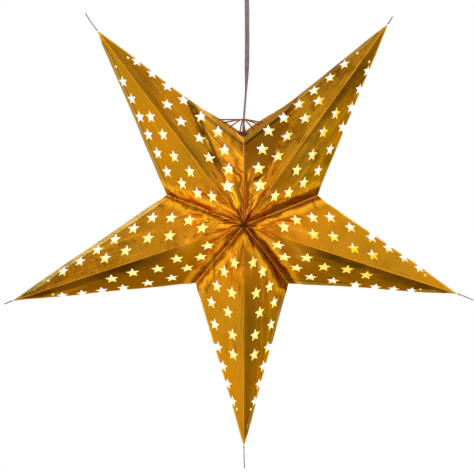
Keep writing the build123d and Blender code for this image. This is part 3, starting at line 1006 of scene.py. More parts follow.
def grid_faces(first, steps, rows):
    """The faces of a grid of points."""
    faces = []
    for i in range(steps):
        for j in range(rows):
            corner = first + i * (rows + 1) + j
            faces.append((corner, corner + 1, corner + rows + 2, corner + rows + 1))
    return faces


for face, face_name in FACES:
    seam_points, seam_faces = [], []
    for side in SIDES:
        seam_faces += grid_faces(len(seam_points), SEAM_STEPS, FLAP_ROWS)
        seam_points += [STAR_MIDDLE + lifted(place) for place in seam_flap(face, side)]
    flaps = link_mesh(f"{face_name}_seam", seam_points, seam_faces)
    sharpen(flaps.data)
    edge = flaps.modifiers.new("paper", "SOLIDIFY")
    edge.thickness = PAPER_THICKNESS
    edge.offset = 0
    edge.material_offset_rim = 1
    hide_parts(f"{face_name}_closing_flaps")
    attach(flaps, "star")
    print(flaps.name, len(seam_points))

# %% [markdown]
# ## Thread tails
# At each tip the thread that once tied the folded star flat runs on as a short tail with a knot.
# Two plies twist round each other, and the knot is a trefoil path. A plain cylinder would do from
# afar, but it would look like a wire.

# %% Thread tails
THREAD_RADIUS = 0.42 * MM
THREAD_PITCH = 2.4 * MM
PLY_SHARE = 0.8
THREAD_SIDES = 8
THREAD_STEPS = 40
THREAD_ACROSS = Vector((0.31, 0.93, 0.17))
KNOT_RADIUS = 1.1 * MM
KNOT_LINE_SHARE = 1 / 4.2
KNOT_STEPS = 48
DEPTHWISE = Vector((0, 1, 0))
# Each tail: its length and how far its end bends aside
TAILS = {
    "upper_left": (27 * MM, -1.5 * MM),
    "upper_right": (11 * MM, 0.8 * MM),
    "right": (22 * MM, -1.0 * MM),
    "bottom": (31 * MM, 0.8 * MM),
    "left": (11 * MM, 0.6 * MM),
}


def thread_strand(point, phase):
    """The line of one of the two plies of a tail."""
    length, bend = TAILS[point]
    tip = tip_of(point)
    along = tip.normalized()
    across = along.cross(DEPTHWISE)
    line = []
    for i in range(THREAD_STEPS + 1):
        share = i / THREAD_STEPS
        turn = phase + share * length / THREAD_PITCH * 2 * math.pi
        place = tip + along * (share * length) + across * (bend * share * share)
        off_axis = across * math.cos(turn) + DEPTHWISE * math.sin(turn)
        line.append(STAR_MIDDLE + place + off_axis * THREAD_RADIUS * PLY_SHARE)
    return line


def knot_line(point):
    """A small overhand knot: a trefoil path just past the tip."""
    tip = tip_of(point)
    along = tip.normalized()
    across = along.cross(DEPTHWISE)
    line = []
    for i in range(KNOT_STEPS + 1):
        turn = 2 * math.pi * i / KNOT_STEPS
        swing = 2 + math.cos(3 * turn)
        loop = Vector((swing * math.cos(2 * turn), swing * math.sin(2 * turn), math.sin(3 * turn)))
        loop *= KNOT_RADIUS * KNOT_LINE_SHARE
        place = tip + along * (KNOT_RADIUS + loop.z) + across * loop.x + DEPTHWISE * loop.y
        line.append(STAR_MIDDLE + place)
    return line


thread_points, thread_faces = [], []
for point in POINTS:
    for line in (thread_strand(point, 0.0), thread_strand(point, math.pi), knot_line(point)):
        add_strand(thread_points, thread_faces, line, THREAD_RADIUS, THREAD_SIDES, THREAD_ACROSS)
threads = link_mesh("thread_tails", thread_points, thread_faces)
threads.data.shade_smooth()
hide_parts("tip_threads")
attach(threads, "star")
print("thread points", len(thread_points))

# %% [markdown]
# ## Wire frame
# A small wire ring sits on the cord, and eight wires run out from it over the mouth, bend down at
# its rim and end on a lower ring round the holder. In the measured parts they are all level, and in
# the photograph they have been bent: the right side is lower and pulled in. So the wires are swept
# again here, each along its own bent line, and the lower ring is kept as it is.

# %% Frame wires
WIRE_RADIUS = 0.95 * MM
WIRE_SIDES = 12
WIRE_ACROSS = Vector((0.2, 0.1, 1))
SPOKE_COUNT = 8
SPOKE_TURN = math.radians(-10)
SPOKE_REACH = 34 * MM
SPOKE_BEND = 2.4 * MM
BEND_STEPS = 6
BEND_ANGLE = math.radians(60)
PAPER_CLEARANCE = 0.7 * MM
HUB_HEIGHT = 135 * MM
HUB_RING_RADIUS = 4.7 * MM
HUB_STEPS = 32
LOWER_RING_HEIGHT = 104.05 * MM
LOWER_RING_RADIUS = 15.65 * MM
RIGHT_PULLED_IN = 5.0 * MM
RIGHT_SAG = 6.0 * MM


def outward_at(turn):
    """A level direction."""
    return Vector((math.cos(turn), math.sin(turn), 0))


def spoke_line(index):
    """One wire: from the ring on the cord to the mouth's rim, and down to the lower ring."""
    outward = outward_at(2 * math.pi * index / SPOKE_COUNT + SPOKE_TURN)
    corner = rim_corner(-1 if outward.x < 0 else 1)
    corner_x = abs(corner.x)
    rim_distance = 1 / (abs(outward.x) / corner_x + abs(outward.y) / MOUTH_HALF_OPENING)
    flat_distance = corner_x * MOUTH_HALF_OPENING / math.hypot(corner_x, MOUTH_HALF_OPENING)
    clear_share = 1 - (WIRE_RADIUS + PAPER_CLEARANCE) / flat_distance
    reach = min(SPOKE_REACH, rim_distance * clear_share)
    rise = (corner.z - RIM_HEIGHT) * reach * abs(outward.x) / corner_x
    elbow = Vector((0, 0, RIM_HEIGHT + rise)) + outward * reach
    elbow -= Vector((RIGHT_PULLED_IN, 0, RIGHT_SAG)) * max(0.0, outward.x)
    start = Vector((0, 0, HUB_HEIGHT)) + outward * HUB_RING_RADIUS
    end = Vector((0, 0, LOWER_RING_HEIGHT)) + outward * LOWER_RING_RADIUS
    before = elbow + (start - elbow).normalized() * SPOKE_BEND
    after = elbow + (end - elbow).normalized() * SPOKE_BEND
    line = [start]
    for i in range(BEND_STEPS + 1):
        share = i / BEND_STEPS
        line.append(before.lerp(elbow, share).lerp(elbow.lerp(after, share), share))
    line.append(end)
    return [STAR_MIDDLE + place for place in line]


def hub_ring():
    """The closed ring on the cord: points and faces."""
    points, faces = [], []
    section = round_section(WIRE_RADIUS, WIRE_SIDES)
    for i in range(HUB_STEPS):
        outward = outward_at(2 * math.pi * i / HUB_STEPS)
        for u, v in map(section, range(WIRE_SIDES)):
            place = Vector((0, 0, HUB_HEIGHT + v)) + outward * (HUB_RING_RADIUS + u)
            points.append(STAR_MIDDLE + place)
        faces += ring_faces(i * WIRE_SIDES, (i + 1) % HUB_STEPS * WIRE_SIDES, WIRE_SIDES)
    return points, faces


wire_points, wire_faces = hub_ring()
for index in range(SPOKE_COUNT):
    add_strand(wire_points, wire_faces, spoke_line(index), WIRE_RADIUS, WIRE_SIDES, WIRE_ACROSS)
wires = link_mesh("mouth_frame", wire_points, wire_faces)
wires.data.shade_smooth()
wires.data.set_sharp_from_angle(angle=BEND_ANGLE)
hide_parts("frame_hub_ring", *[f"frame_spoke_{index + 1}" for index in range(SPOKE_COUNT)])
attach(wires, "star")
print("frame wires", SPOKE_COUNT, "points", len(wire_points))

# %% [markdown]
# ## Gold foil: where a mark lies
# The foil is the heart of the look: metal-bright gold whose tone drifts between warm amber and
# olive, darker and redder where creases crowd together. Its marks follow the folds, so the material
# first works out how far out a place is, which way round, and how far from the nearest fold. A
# painted picture would need unwrapping; sums of distances stay sharp at any size. Lengths in the
# steps below are metres from the star's middle or from a fold, and turns are radians from the top.

# %% Distances on the foil
MOUTH_CREASE_TURN = math.radians(24.3)
MOUTH_TURNS = (MOUTH_CREASE_TURN - 0.04, MOUTH_CREASE_TURN)


def from_mouth_rim(finish, x, y, z):
    """How far a place is from the mouth's rim, on whichever of its four sides is nearest."""
    folded_over = finish.join(finish.maths("ABSOLUTE", x), finish.maths("ABSOLUTE", y), z)
    along = (rim_corner(1) - rim_middle(1)).normalized()
    off = folded_over - tuple(rim_middle(1))
    cross = finish.vector_maths("CROSS_PRODUCT", off, tuple(along), output="Vector")
    return finish.vector_maths("LENGTH", cross)


foil = Finish("gold_foil")
x, y, z = foil.split(foil.place() - tuple(STAR_MIDDLE))
reach = (x * x + z * z) ** 0.5
turn = foil.maths("ARCTAN2", x, z)
off_top = foil.maths("ABSOLUTE", turn)
from_valley = reach * foil.maths("PINGPONG", turn, math.radians(HALF_STEP))
from_crease = foil.maths("ABSOLUTE", reach * (off_top - MOUTH_CREASE_TURN))
from_ridge, ridge_shade = foil.painted("from_ridge"), foil.painted("ridge_shade")
not_seam = off_top.step(0.25, 0.40)
wobble = foil.noise(34.0, 3.0)
lap = 1 - ridge_shade.step(-0.9, -0.5)
print("foil nodes", len(foil.tree.nodes))

# %% [markdown]
# ## Gold foil: broad tone
# Seen from afar the foil isn't one gold. Slow noise mixes an olive and a warm gold, quicker noise
# adds amber, and brown blotches stand mostly on the upper right, where the photograph has them.

# %% Foil, broad tone
GOLD = (0.64, 0.255, 0.009)
OLIVE_GOLD = (0.52, 0.238, 0.010)
AMBER = (0.70, 0.22, 0.004)
MOTTLE_BROWN = (0.24, 0.095, 0.005)

drift = foil.noise(7.0, 2.0).step(0.35, 0.65)
tone = foil.blend(drift, OLIVE_GOLD, GOLD)
tone = foil.blend(foil.noise(26.0, 4.0).step(0.52, 0.72) * 0.5, tone, AMBER)
upper_right = x.step(-0.01, 0.04) * z.step(0.03, 0.09)
mottle_share = 0.12 + 0.12 * x.step(-0.02, 0.04) + 0.50 * upper_right
mottle = foil.noise(36.0, 4.0).step(0.49, 0.62) * mottle_share
tone = foil.blend(mottle.limit(), tone, MOTTLE_BROWN)
print("foil nodes", len(foil.tree.nodes))

# %% [markdown]
# ## Gold foil: ridges, laps and edges
# Long combed streaks of painted highlight run beside each ridge, one side of it has a darker and
# redder painted shade, each facet has a red painted shade of its own, and its very fold has a bright
# painted highlight. The glued laps are paler, and a painted highlight runs along the long edges.

# %% Foil, ridges
# The bright gold is for painted highlights, and the brown and the russet for painted shade
HIGHLIGHT_GOLD = (1.0, 0.43, 0.014)
RIDGE_SHADE_BROWN = (0.07, 0.026, 0.003)
FACET_SHADE_RUSSET = (0.25, 0.078, 0.004)
LAP_OLIVE = (0.42, 0.27, 0.055)
LAP_PALE = (1.0, 0.70, 0.20)
EDGE_HIGHLIGHT = (1.0, 0.50, 0.05)
FLANK_START, FLANK_END = (0.63, 0.66), (1.15, 1.25)

combed = foil.noise(1.0, 3.0, foil.join(from_ridge * 95.0, reach * 9.0, ridge_shade * 40.0))
patchy = 0.55 + 0.45 * foil.noise(16.0, 2.0).step(0.42, 0.60)
off_middle = (0.25 + 0.75 * reach.step(0.055, 0.130) + 0.45 * z.step(0.0, 0.03)).limit()
# The upper right flank, which gets a painted glow and less painted shade
painted_glow_flank = turn.step(*FLANK_START) * (1 - turn.step(*FLANK_END)) * reach.step(0.07, 0.10)
painted_glow_flank = painted_glow_flank * (1 - (reach + wobble * 0.06).step(0.17, 0.23))
# Painted shade: each facet is reddened by its own amount from the table
tone = foil.blend(foil.painted("facet_shade") * off_middle, tone, FACET_SHADE_RUSSET)
# Painted shade beside one side of each ridge, lighter on the glowing flank
shadow_edge = (from_ridge + (combed - 0.5) * 0.014).step(0.003, 0.028)
beside = (1 - shadow_edge) * ridge_shade * patchy * off_middle
tone = foil.blend((beside * 0.9 * (1 - painted_glow_flank * 0.9)).limit(), tone, RIDGE_SHADE_BROWN)
# Painted highlight: combed streaks beside the ridges
tone = foil.blend(combed.step(0.55, 0.75) * 0.45, tone, HIGHLIGHT_GOLD)
left_point = (1 - x.step(-0.06, -0.02)) * (1 - z.step(0.026, 0.034))
lap_tone = foil.blend(left_point, LAP_OLIVE, LAP_PALE)
tone = foil.blend(lap * (0.55 + 0.20 * left_point), tone, lap_tone)
# Painted highlight along the long edges
at_edge = 1 - foil.painted("from_edge").step(0.0004, 0.0036)
tone = foil.blend(at_edge * reach.step(0.09, 0.11) * (1 - lap) * 0.75, tone, EDGE_HIGHLIGHT)
# Painted highlight along the very fold of each ridge
ridge_highlight = (1 - from_ridge.step(0.0003, 0.0011)) * reach.step(0.02, 0.04) * ridge_shade.step(-0.5, 0.0)
tone = foil.blend(ridge_highlight * 0.75, tone, HIGHLIGHT_GOLD)
print("foil nodes", len(foil.tree.nodes))

# %% [markdown]
# ## Gold foil: the crumpled middle
# Round the middle the foil is crushed into narrow creases that all run to the centre. Noise that is
# read by direction, not by place, gives streaks that fan out, and its zero line is a crease. The
# troughs get a red painted shade, as of gold reflected in gold, and the crests get painted orange and
# yellow highlights. The crowded middle gets a painted orange reflection, and the lower middle a warm
# painted glow.

# %% Foil, streaks to the middle
# The red gold is a painted shade, the hub orange a painted reflection, and orange and yellow are
# painted highlights
TROUGH_SHADE_RED = (0.42, 0.105, 0.004)
HUB_REFLECTED_ORANGE = (0.80, 0.27, 0.008)
BRIGHT_ORANGE = (1.0, 0.34, 0.012)
BRIGHT_YELLOW = (1.0, 0.55, 0.06)
CROWDED = (0.036, 0.112)
FAN_SCALE = 2.3

# Painted glow: the lower middle is warmed to amber
low_middle_glow = (1 - reach.step(0.06, 0.14)) * (1 - z.step(0.01, 0.04))
tone = foil.blend(low_middle_glow * 0.5, tone, AMBER)
crowded = 1 - reach.step(*CROWDED)
on_crease = reach.step(0.06, 0.09) * (1 - reach.step(0.16, 0.19))
at_crease = (1 - from_crease.step(0.001, 0.006)) * on_crease
near_valley = (1 - from_valley.step(0.003, 0.026)) * 0.75
creased = (crowded + near_valley + at_crease * 0.8 + 0.04).limit()
wander = foil.noise(22.0, 2.0) * 1.3
fan = foil.join(x / reach * FAN_SCALE + wander, y * 14.0, z / reach * FAN_SCALE + reach * 12.0)
folds = foil.maths("ABSOLUTE", foil.noise(1.0, 2.2, fan) - 0.5)
trough_shade = (1 - folds.step(0.0, 0.10)) * creased
crest_highlight = folds.step(0.10, 0.20) * creased
# Painted reflection: gold seen in gold makes the crowded middle orange
tone = foil.blend(crowded * 0.5, tone, HUB_REFLECTED_ORANGE)
# Painted shade in the troughs of the creases
tone = foil.blend((trough_shade * 0.75).limit(), tone, TROUGH_SHADE_RED)
# Painted highlights on the crests of the creases, orange and yellow
highlight = foil.blend(foil.noise(30.0, 2.0).step(0.40, 0.60), BRIGHT_ORANGE, BRIGHT_YELLOW)
tone = foil.blend((crest_highlight * 0.95).limit(), tone, highlight)
print("foil nodes", len(foil.tree.nodes))

# %% [markdown]
# ## Gold foil: valleys
# Each valley is a dark uneven band of painted shade, because the light doesn't reach into it, with a
# bright painted highlight as its border where the foil turns out again, and a painted highlight line
# along the fold itself. The bands are wider on the right, as in the photograph, and the open seam
# at the top has none.

# %% Foil, valleys
# A brown for the painted shade in the valleys
VALLEY_SHADE_BROWN = (0.20, 0.043, 0.006)

right_side = 0.62 + 0.38 * x.step(-0.01, 0.01)
above_side_valley = 1 - off_top.step(1.24, 1.27)
low_valley = off_top.step(1.8, 1.9)
widening = x.step(0.0, 0.01) * (above_side_valley + low_valley * 0.6).limit()
widening = widening * reach.step(0.015, 0.045)
band = from_valley + (wobble - 0.5) * 0.016 - 0.0015 - 0.0045 * widening
# Painted highlight on the border where the foil turns out of each valley
border = band.step(0.003, 0.007) * (1 - band.step(0.009, 0.016)) * not_seam
tone = foil.blend((border * 0.85).limit(), tone, HIGHLIGHT_GOLD)
# Painted shade in each valley, darker on the right
valley_shade = (1 - band.step(0.0025, 0.0062)) * not_seam * right_side
tone = foil.blend((valley_shade * 0.85).limit(), tone, VALLEY_SHADE_BROWN)
# Painted highlight line along each fold
fold_highlight = (1 - from_valley.step(0.0004, 0.0011)) * not_seam
tone = foil.blend(fold_highlight * (0.8 - 0.35 * widening), tone, HIGHLIGHT_GOLD)
print("foil nodes", len(foil.tree.nodes))

# %% [markdown]
# ## Gold foil: the mouth and the hub
# The mouth's left fold is creased and has a painted shade along it, its turned-over hem shows as a
# dark painted shadow line a few millimetres below the rim, with a painted highlight on the strip
# above it, and at the very middle, where ten folds meet, a painted shade makes the paper nearly
# black.

# %% Foil, mouth and hub
# A brown for painted shade and painted shadow
SHADE_BROWN = (0.10, 0.034, 0.003)
HEM_LINE = (0.0072, 0.0088)
HEM_SOFTNESS = 0.0012
HEM_HIGHLIGHT_FROM = 0.0055

left_half = 1 - x.step(-0.004, 0.004)
# Painted shade along the creased left fold of the mouth
crease_shade = at_crease * left_half * (1 - folds.step(0.05, 0.16))
tone = foil.blend(crease_shade.limit(), tone, SHADE_BROWN)
rim = from_mouth_rim(foil, x, y, z)
in_mouth = 1 - off_top.step(*MOUTH_TURNS)
# Painted highlight on the strip between the rim and the hem's line
tone = foil.blend((1 - rim.step(HEM_HIGHLIGHT_FROM, HEM_LINE[0])) * in_mouth * 0.35, tone, HIGHLIGHT_GOLD)
# Painted shadow: the hem's step shows as a dark line
hem = rim.step(HEM_LINE[0] - HEM_SOFTNESS, HEM_LINE[0])
hem = hem * (1 - rim.step(HEM_LINE[1], HEM_LINE[1] + HEM_SOFTNESS))
tone = foil.blend(hem * in_mouth * (0.8 - 0.45 * left_half), tone, SHADE_BROWN)
# Painted shade at the very middle, where ten folds meet
hub = 1 - (reach + wobble * 0.006).step(0.005, 0.011)
tone = foil.blend(hub * 0.9, tone, SHADE_BROWN)
print("foil nodes", len(foil.tree.nodes))

# %% [markdown]
# ## Gold foil: painted glow, and relief
# Round the middle and on the upper right flank the foil gives off a faint warm painted glow, in
# streaks and patches. The same folds and streaks that colour it also lift it, through a bump, and
# fine noise keeps its gloss uneven.

# %% Foil, painted glow and relief
# The colour and strength of the foil's painted glow
PAINTED_GLOW = (1.0, 0.54, 0.035)
BLACK = (0.0, 0.0, 0.0)
PAINTED_GLOW_STRENGTH = 0.28
FOIL_TINT = (1.0, 0.62, 0.16)
FOIL_RELIEF = 0.8 * MM

# Painted glow: the foil gives off a faint warm light round the middle and on the upper right flank
painted_glow_middle = reach.step(0.014, 0.040) * (1 - reach.step(0.045, 0.105))
painted_glow_middle = painted_glow_middle * from_valley.step(0.004, 0.012)
painted_glow_middle = painted_glow_middle * (1 - x.step(0.0, 0.005) * z.step(0.01, 0.03) * 0.8)
streaks = folds.step(0.05, 0.20) * 0.7 + 0.3
flank_patches = combed.step(0.40, 0.62) * (0.4 + 0.6 * foil.noise(24.0, 3.0).step(0.40, 0.60))
painted_glow_share = (painted_glow_middle * streaks * 0.9 + painted_glow_flank * flank_patches * 0.6).limit()
height = folds * creased * 13.0 + foil.noise(48.0, 4.0) * 0.8 + foil.noise(900.0, 2.0) * 0.05
height = height + combed * 1.6
foil_finish = foil.surface(
    Base_Color=tone, Metallic=1.0, Roughness=0.11 + 0.12 * foil.noise(120.0, 3.0),
    Specular_Tint=FOIL_TINT, Emission_Color=foil.blend(painted_glow_share, BLACK, PAINTED_GLOW),
    Emission_Strength=PAINTED_GLOW_STRENGTH, Normal=foil.bump(height, FOIL_RELIEF),
)
print("foil nodes", len(foil.tree.nodes))

# %% [markdown]
# ## Lining
# The lining is white paper that the bulb lights from within, which is what makes the stars glow. A
# real bulb in a closed paper star takes many light bounces to look right, so the lining gives off
# the light itself: pale where it is near the bulb, and warmer on the right. Under the mouth's hem
# it is dull orange.

# %% Lit lining
LINING_GLOW = 0.38
HEM_REACH = (0.0105, 0.0120)


def lit_lining():
    lining = Finish("lit_lining")
    fibres = lining.noise(420.0, 4.0)
    x, y, z = lining.split(lining.place() - tuple(STAR_MIDDLE))
    patches = lining.noise(13.0, 2.0).step(0.46, 0.60) * x.step(-0.05, 0.06)
    far_right = (x + z * 0.35).step(0.10, 0.17)
    warm = (patches * 0.6 + far_right * 0.75).limit()
    glow = lining.blend(warm, (1.0, 0.93, 0.48), (1.0, 0.76, 0.04))
    base = lining.blend(warm, (0.74, 0.67, 0.40), (0.74, 0.58, 0.10))
    off_top = lining.maths("ABSOLUTE", lining.maths("ARCTAN2", x, z))
    rim = from_mouth_rim(lining, x, y, z)
    hem = (1 - rim.step(*HEM_REACH)) * (1 - off_top.step(*MOUTH_TURNS))
    glow = lining.blend(hem, glow, (0.30, 0.10, 0.01))
    base = lining.blend(hem, base, (0.36, 0.13, 0.02))
    return lining.surface(
        Base_Color=base, Roughness=0.85 - 0.45 * hem, Emission_Color=glow,
        Emission_Strength=LINING_GLOW, Normal=lining.bump(fibres, 0.08 * MM),
    )


lining_finish = lit_lining()
print("lining", lining_finish.name)

# %% [markdown]
# ## Two-tone finishes
# Paper's cut edge, thread, tape, plastic and cord differ in colour, gloss and grain, and are made
# alike: slow patches drift the tone and the gloss, and a finer noise lifts the surface. One
# function makes them all, so that each finish is a line or two of numbers.


# %% Two-tone finishes
def two_tone(name, first, second, patches, grain, relief, rough, drift=0.0, glow=0.0, **more):
    """Patches and grain are a noise's scale and detail. Relief is in millimetres."""
    finish = Finish(name)
    cloud = finish.noise(*patches)
    lift = finish.noise(*grain) if grain else cloud
    base = finish.blend(cloud, first, second)
    if glow:
        more.update(Emission_Color=base, Emission_Strength=glow)
    gloss = rough + drift * cloud if drift else rough
    return finish.surface(
        Base_Color=base, Roughness=gloss, Normal=finish.bump(lift, relief * MM), **more,
    )


def cut_edge(name, first, second, glow):
    """Raw paper where the sheet is cut, lit by the light behind it."""
    return two_tone(name, first, second, (900.0, 3.0), None, 0.05, 0.8, glow=glow)


def moulded(name, first, second, rough):
    """Moulded plastic: a fine orange-peel skin, and a slightly uneven tone."""
    return two_tone(name, first, second, (30.0, 3.0), (520.0, 2.0), 0.03, rough, 0.12)


edge_finish = cut_edge("cut_paper_edge", (0.75, 0.52, 0.18), (0.92, 0.74, 0.36), 0.35)
# The cut edge of laps and hem is painted dark: a painted shadow of the strip's step
lap_edge_shadow_finish = cut_edge("lap_edge_painted_shadow", (0.10, 0.045, 0.008), (0.18, 0.085, 0.015), 0.0)
seam_finish = cut_edge("seam_paper_edge", (0.55, 0.20, 0.02), (0.78, 0.36, 0.06), 0.12)
thread_finish = two_tone(
    "waxed_thread", (0.02, 0.017, 0.015), (0.075, 0.065, 0.055), (1500.0, 4.0), None, 0.08, 0.7,
)
# The tape is clear and lies on foil, so it takes the foil's colour, and it has a painted glow
tape_finish = two_tone(
    "clear_tape", (0.80, 0.34, 0.04), (0.95, 0.50, 0.10), (180.0, 4.0), None, 0.1, 0.22, 0.15, 0.35,
)
PLASTICS = {
    "white_plastic": ((0.74, 0.73, 0.69), (0.82, 0.81, 0.78), 0.42),
    "holder_plastic": ((0.060, 0.026, 0.008), (0.110, 0.048, 0.014), 0.50),
    "rose_plastic": ((0.80, 0.79, 0.76), (0.87, 0.865, 0.845), 0.22),
    "core_insulation": ((0.36, 0.32, 0.26), (0.52, 0.47, 0.40), 0.30),
}
slot_finishes = {slot: moulded(slot, *numbers) for slot, numbers in PLASTICS.items()}
print("materials", len(bpy.data.materials))

# %% [markdown]
# ## Cord and wire
# The cord's sheath is soft grey-brown plastic with a thin gloss, which a weak coat gives. The frame
# wires are lacquered: dark at the rim, and orange-brown in patches and near the cord, where the
# orange is painted light from the lantern below.


# %% Cord and wire finishes
def cord_sheath():
    sheath = Finish("cord_sheath")
    clouds = sheath.noise(160.0, 3.0)
    base = sheath.blend(clouds.step(0.3, 0.7), (0.115, 0.095, 0.105), (0.185, 0.16, 0.175))
    return sheath.surface(
        Base_Color=base, Roughness=0.28 + 0.1 * clouds, Coat_Weight=0.4, Coat_Roughness=0.15,
        Subsurface_Weight=0.1, Normal=sheath.bump(sheath.noise(700.0, 2.0), 0.04 * MM),
    )


def lacquered_wire():
    wire = Finish("lacquered_wire")
    wear = wire.noise(260.0, 4.0)
    x, y, z = wire.split(wire.place() - tuple(STAR_MIDDLE))
    near_cord = 1 - (x * x + y * y).step(0.01**2, 0.03**2)
    # Near the cord the orange-brown is painted light from the lantern below
    lit = wear.step(0.45, 0.70) * 0.5 + near_cord * 0.5
    base = wire.blend(lit, (0.055, 0.018, 0.004), (0.50, 0.16, 0.012))
    return wire.surface(
        Base_Color=base, Roughness=0.42 + 0.2 * wear, Specular_IOR_Level=0.15,
        Normal=wire.bump(wear, 0.05 * MM),
    )


cord_finish, wire_finish = cord_sheath(), lacquered_wire()
print("materials", len(bpy.data.materials))

# %% [markdown]
# ## Metal and glass
# Inside the rose and the holder are brass, steel and solder, drawn or turned, so their grain is
# stretched along one direction. The bulb is frosted and gives off light itself, which is cheaper
# than a lamp inside it, and the little stem within is clear.


# %% Metal and glass finishes
def bare_metal(name, first, second, rough, scratch=700.0):
    """Plain metal with fine drawn lines and duller patches."""
    metal = Finish(name)
    lines = metal.noise(scratch, 3.0, metal.place() * (1.0, 1.0, 0.12))
    patches = metal.noise(90.0, 3.0)
    base = metal.blend(patches, first, second)
    return metal.surface(
        Base_Color=base, Metallic=1.0, Roughness=rough + 0.18 * patches,
        Normal=metal.bump(lines, 0.03 * MM),
    )


def frosted_glass():
    glass = Finish("frosted_bulb_glass")
    frost = glass.noise(800.0, 2.0)
    warm = glass.blend(frost, (1.0, 0.80, 0.42), (1.0, 0.88, 0.58))
    return glass.surface(
        Base_Color=(0.95, 0.90, 0.78), Roughness=0.35 + 0.15 * frost, Transmission_Weight=0.35,
        Emission_Color=warm, Emission_Strength=1.6, Normal=glass.bump(frost, 0.02 * MM),
    )


def clear_glass():
    glass = Finish("clear_stem_glass")
    tint = glass.blend(glass.noise(200.0), (0.93, 0.97, 0.97), (1.0, 1.0, 1.0))
    return glass.surface(Base_Color=tint, Roughness=0.05, Transmission_Weight=0.9)


METALS = {
    "brass": ("plain_brass", (0.52, 0.34, 0.10), (0.66, 0.46, 0.17), 0.24),
    "steel": ("plated_steel", (0.46, 0.46, 0.47), (0.62, 0.62, 0.63), 0.28),
    "bulb_metal": ("rolled_cap_metal", (0.60, 0.59, 0.56), (0.76, 0.75, 0.72), 0.22),
    "solder": ("solder", (0.40, 0.40, 0.41), (0.58, 0.58, 0.58), 0.35, 300.0),
    "filament": ("tungsten", (0.18, 0.16, 0.14), (0.28, 0.25, 0.22), 0.4),
}
slot_finishes.update({slot: bare_metal(*numbers) for slot, numbers in METALS.items()})
slot_finishes.update(bulb_glass=frosted_glass(), clear_glass=clear_glass())
print("materials", len(bpy.data.materials))

# %% [markdown]
# ## Who wears what
# A folded sheet has six slots: foil, lining and cut edge, once for the panels and once for the
# laps. The parts that are kept from the frame get their finish by the name of their slot, so a part
# that is added later finds its finish too.

# %% Finishes put on
KEPT_ANGLE = math.radians(32)
slot_finishes.update(frame_wire=wire_finish, seam_tape=tape_finish, cord_sheath=cord_finish)


def wear(piece, *finishes):
    """Gives a piece these finishes, in the order of its slots."""
    for finish in finishes:
        piece.data.materials.append(finish)


sheet_finishes = (foil_finish, lining_finish, edge_finish)
lap_finishes = (foil_finish, lining_finish, lap_edge_shadow_finish)
for piece in folded.values():
    wear(piece, *sheet_finishes, *lap_finishes)
for _, face_name in FACES:
    wear(bpy.data.objects[f"{face_name}_seam"], foil_finish, seam_finish)
wear(flex, cord_finish)
wear(threads, thread_finish)
wear(wires, wire_finish)
slots = {part["node"]: part["material_slot"] for part in frame["record"]["subparts"]}
dressed = 0
for name, part in frame["nodes"].items():
    finish = slot_finishes.get(slots[name])
    if finish and not part.hide_render:
        part.data.materials.clear()
        wear(part, finish)
        part.data.shade_smooth()
        part.data.set_sharp_from_angle(angle=KEPT_ANGLE)
        dressed += 1
print("kept parts dressed", dressed)

# %% [markdown]
# ## Floor
# The floor is plain and pale, well below the lantern, as under a lantern that hangs from a ceiling.
# A hard rim would show as an ellipse against the white room, so the disc fades out toward its rim.

# %% Floor
FLOOR_HEIGHT = -2.4
FLOOR_RADIUS = 2.2
FLOOR_SIDES = 96
FADE_FROM_SHARE = 0.45


def make_floor():
    """A wide plain disc that fades into the white room toward its rim."""
    finish = Finish("pale_floor")
    tone = finish.blend(finish.noise(3.0), (0.74, 0.74, 0.74), (0.78, 0.78, 0.78))
    x, y, z = finish.split(finish.place())
    fade = ((x * x + y * y) ** 0.5).step(FADE_FROM_SHARE * FLOOR_RADIUS, FLOOR_RADIUS)
    finish.surface(Base_Color=tone, Roughness=0.9, Alpha=1 - fade)
    rim = []
    for i in range(FLOOR_SIDES):
        turn = 2 * math.pi * i / FLOOR_SIDES
        rim.append((FLOOR_RADIUS * math.cos(turn), FLOOR_RADIUS * math.sin(turn), FLOOR_HEIGHT))
    floor = link_mesh("floor", rim, [tuple(range(FLOOR_SIDES))])
    floor.data.materials.append(finish.material)
    return floor


print("floor", make_floor().name)

# %% [markdown]
# ## Room
# The room is what a mirror-bright foil shows, so it is made with care. It is white all round, and a
# few large dark cards hang in it out of the camera's sight, as a photographer hangs them to give
# metal its darks: overhead, high on the left, low on both sides, high in front and underneath.
# Every ray sees the same room, so the metal and the glass show the white background as the camera
# does.

# %% Room
ROOM_DIM = 0.06
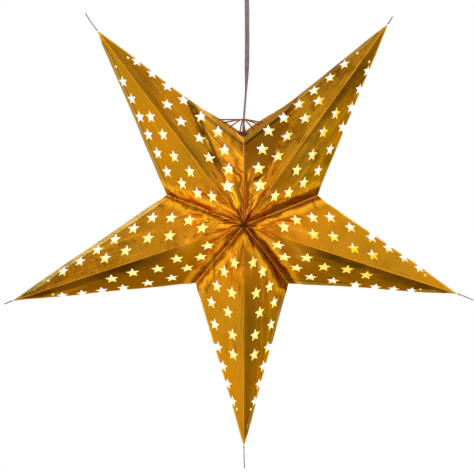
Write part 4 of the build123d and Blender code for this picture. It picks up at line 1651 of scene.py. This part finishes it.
# Each dark card: its direction, the cosines where it starts and is full, and how dark it is
ROOM_CARDS = {
    "overhead": ((0.0, 0.0, 1.0), 0.86, 0.95, 0.85),
    "high_left": ((-0.80, -0.02, 0.60), 0.968, 0.984, 0.75),
    "low_right": ((0.90, -0.14, -0.41), 0.86, 0.97, 0.50),
    "low_left": ((-0.70, -0.45, -0.55), 0.90, 0.97, 0.60),
    "high_front": ((0.30, -0.72, 0.62), 0.80, 0.92, 0.48),
    "underneath": ((0.0, -0.25, -0.97), 0.70, 0.95, 0.60),
}


def make_room():
    """The white room with its dark cards, the same for every ray."""
    world = bpy.data.worlds.new("studio_room")
    world.use_nodes = True
    scene.world = world
    room = Finish.of_tree(world.node_tree)
    direction = room.node("ShaderNodeTexCoord", {}, {}, output="Generated")
    dark = 0.0
    for axis, start, full, share in ROOM_CARDS.values():
        unit = tuple(Vector(axis).normalized())
        facing = room.vector_maths("DOT_PRODUCT", direction, unit)
        dark = facing.step(start, full) * share + dark
    white = room.node("ShaderNodeBackground", {}, {"Color": (1, 1, 1, 1), "Strength": 1.0})
    dim = room.node("ShaderNodeBackground", {}, {"Color": (1, 1, 1, 1), "Strength": ROOM_DIM})
    whole = room.node("ShaderNodeMixShader", {}, {0: dark.limit(), 1: white, 2: dim})
    room.node("ShaderNodeOutputWorld", {}, {"Surface": whole})


make_room()
print("dark cards", list(ROOM_CARDS))

# %% [markdown]
# ## Lamps
# The white room already lights everything evenly. Three weak square lamps only give the folds their
# shadows: one high on the left, a weaker one on the right to fill, and one behind for the rims.

# %% Lamps
LAMP_SIZE = 1.6
# Each lamp: its place and its power in watts
LAMPS = {
    "key_lamp": ((-1.6, -1.9, 0.9), 7),
    "fill_lamp": ((1.9, -1.8, 0.1), 3),
    "back_lamp": ((0.8, 2.2, 0.9), 6),
}

for name, (place, power) in LAMPS.items():
    data = bpy.data.lights.new(name, "AREA")
    data.size = LAMP_SIZE
    data.energy = power
    item = bpy.data.objects.new(name, data)
    facing = (STAR_MIDDLE - Vector(place)).to_track_quat("-Z", "Y").to_matrix().to_4x4()
    item.matrix_world = Matrix.Translation(place) @ facing
    scene.collection.objects.link(item)

# %% [markdown]
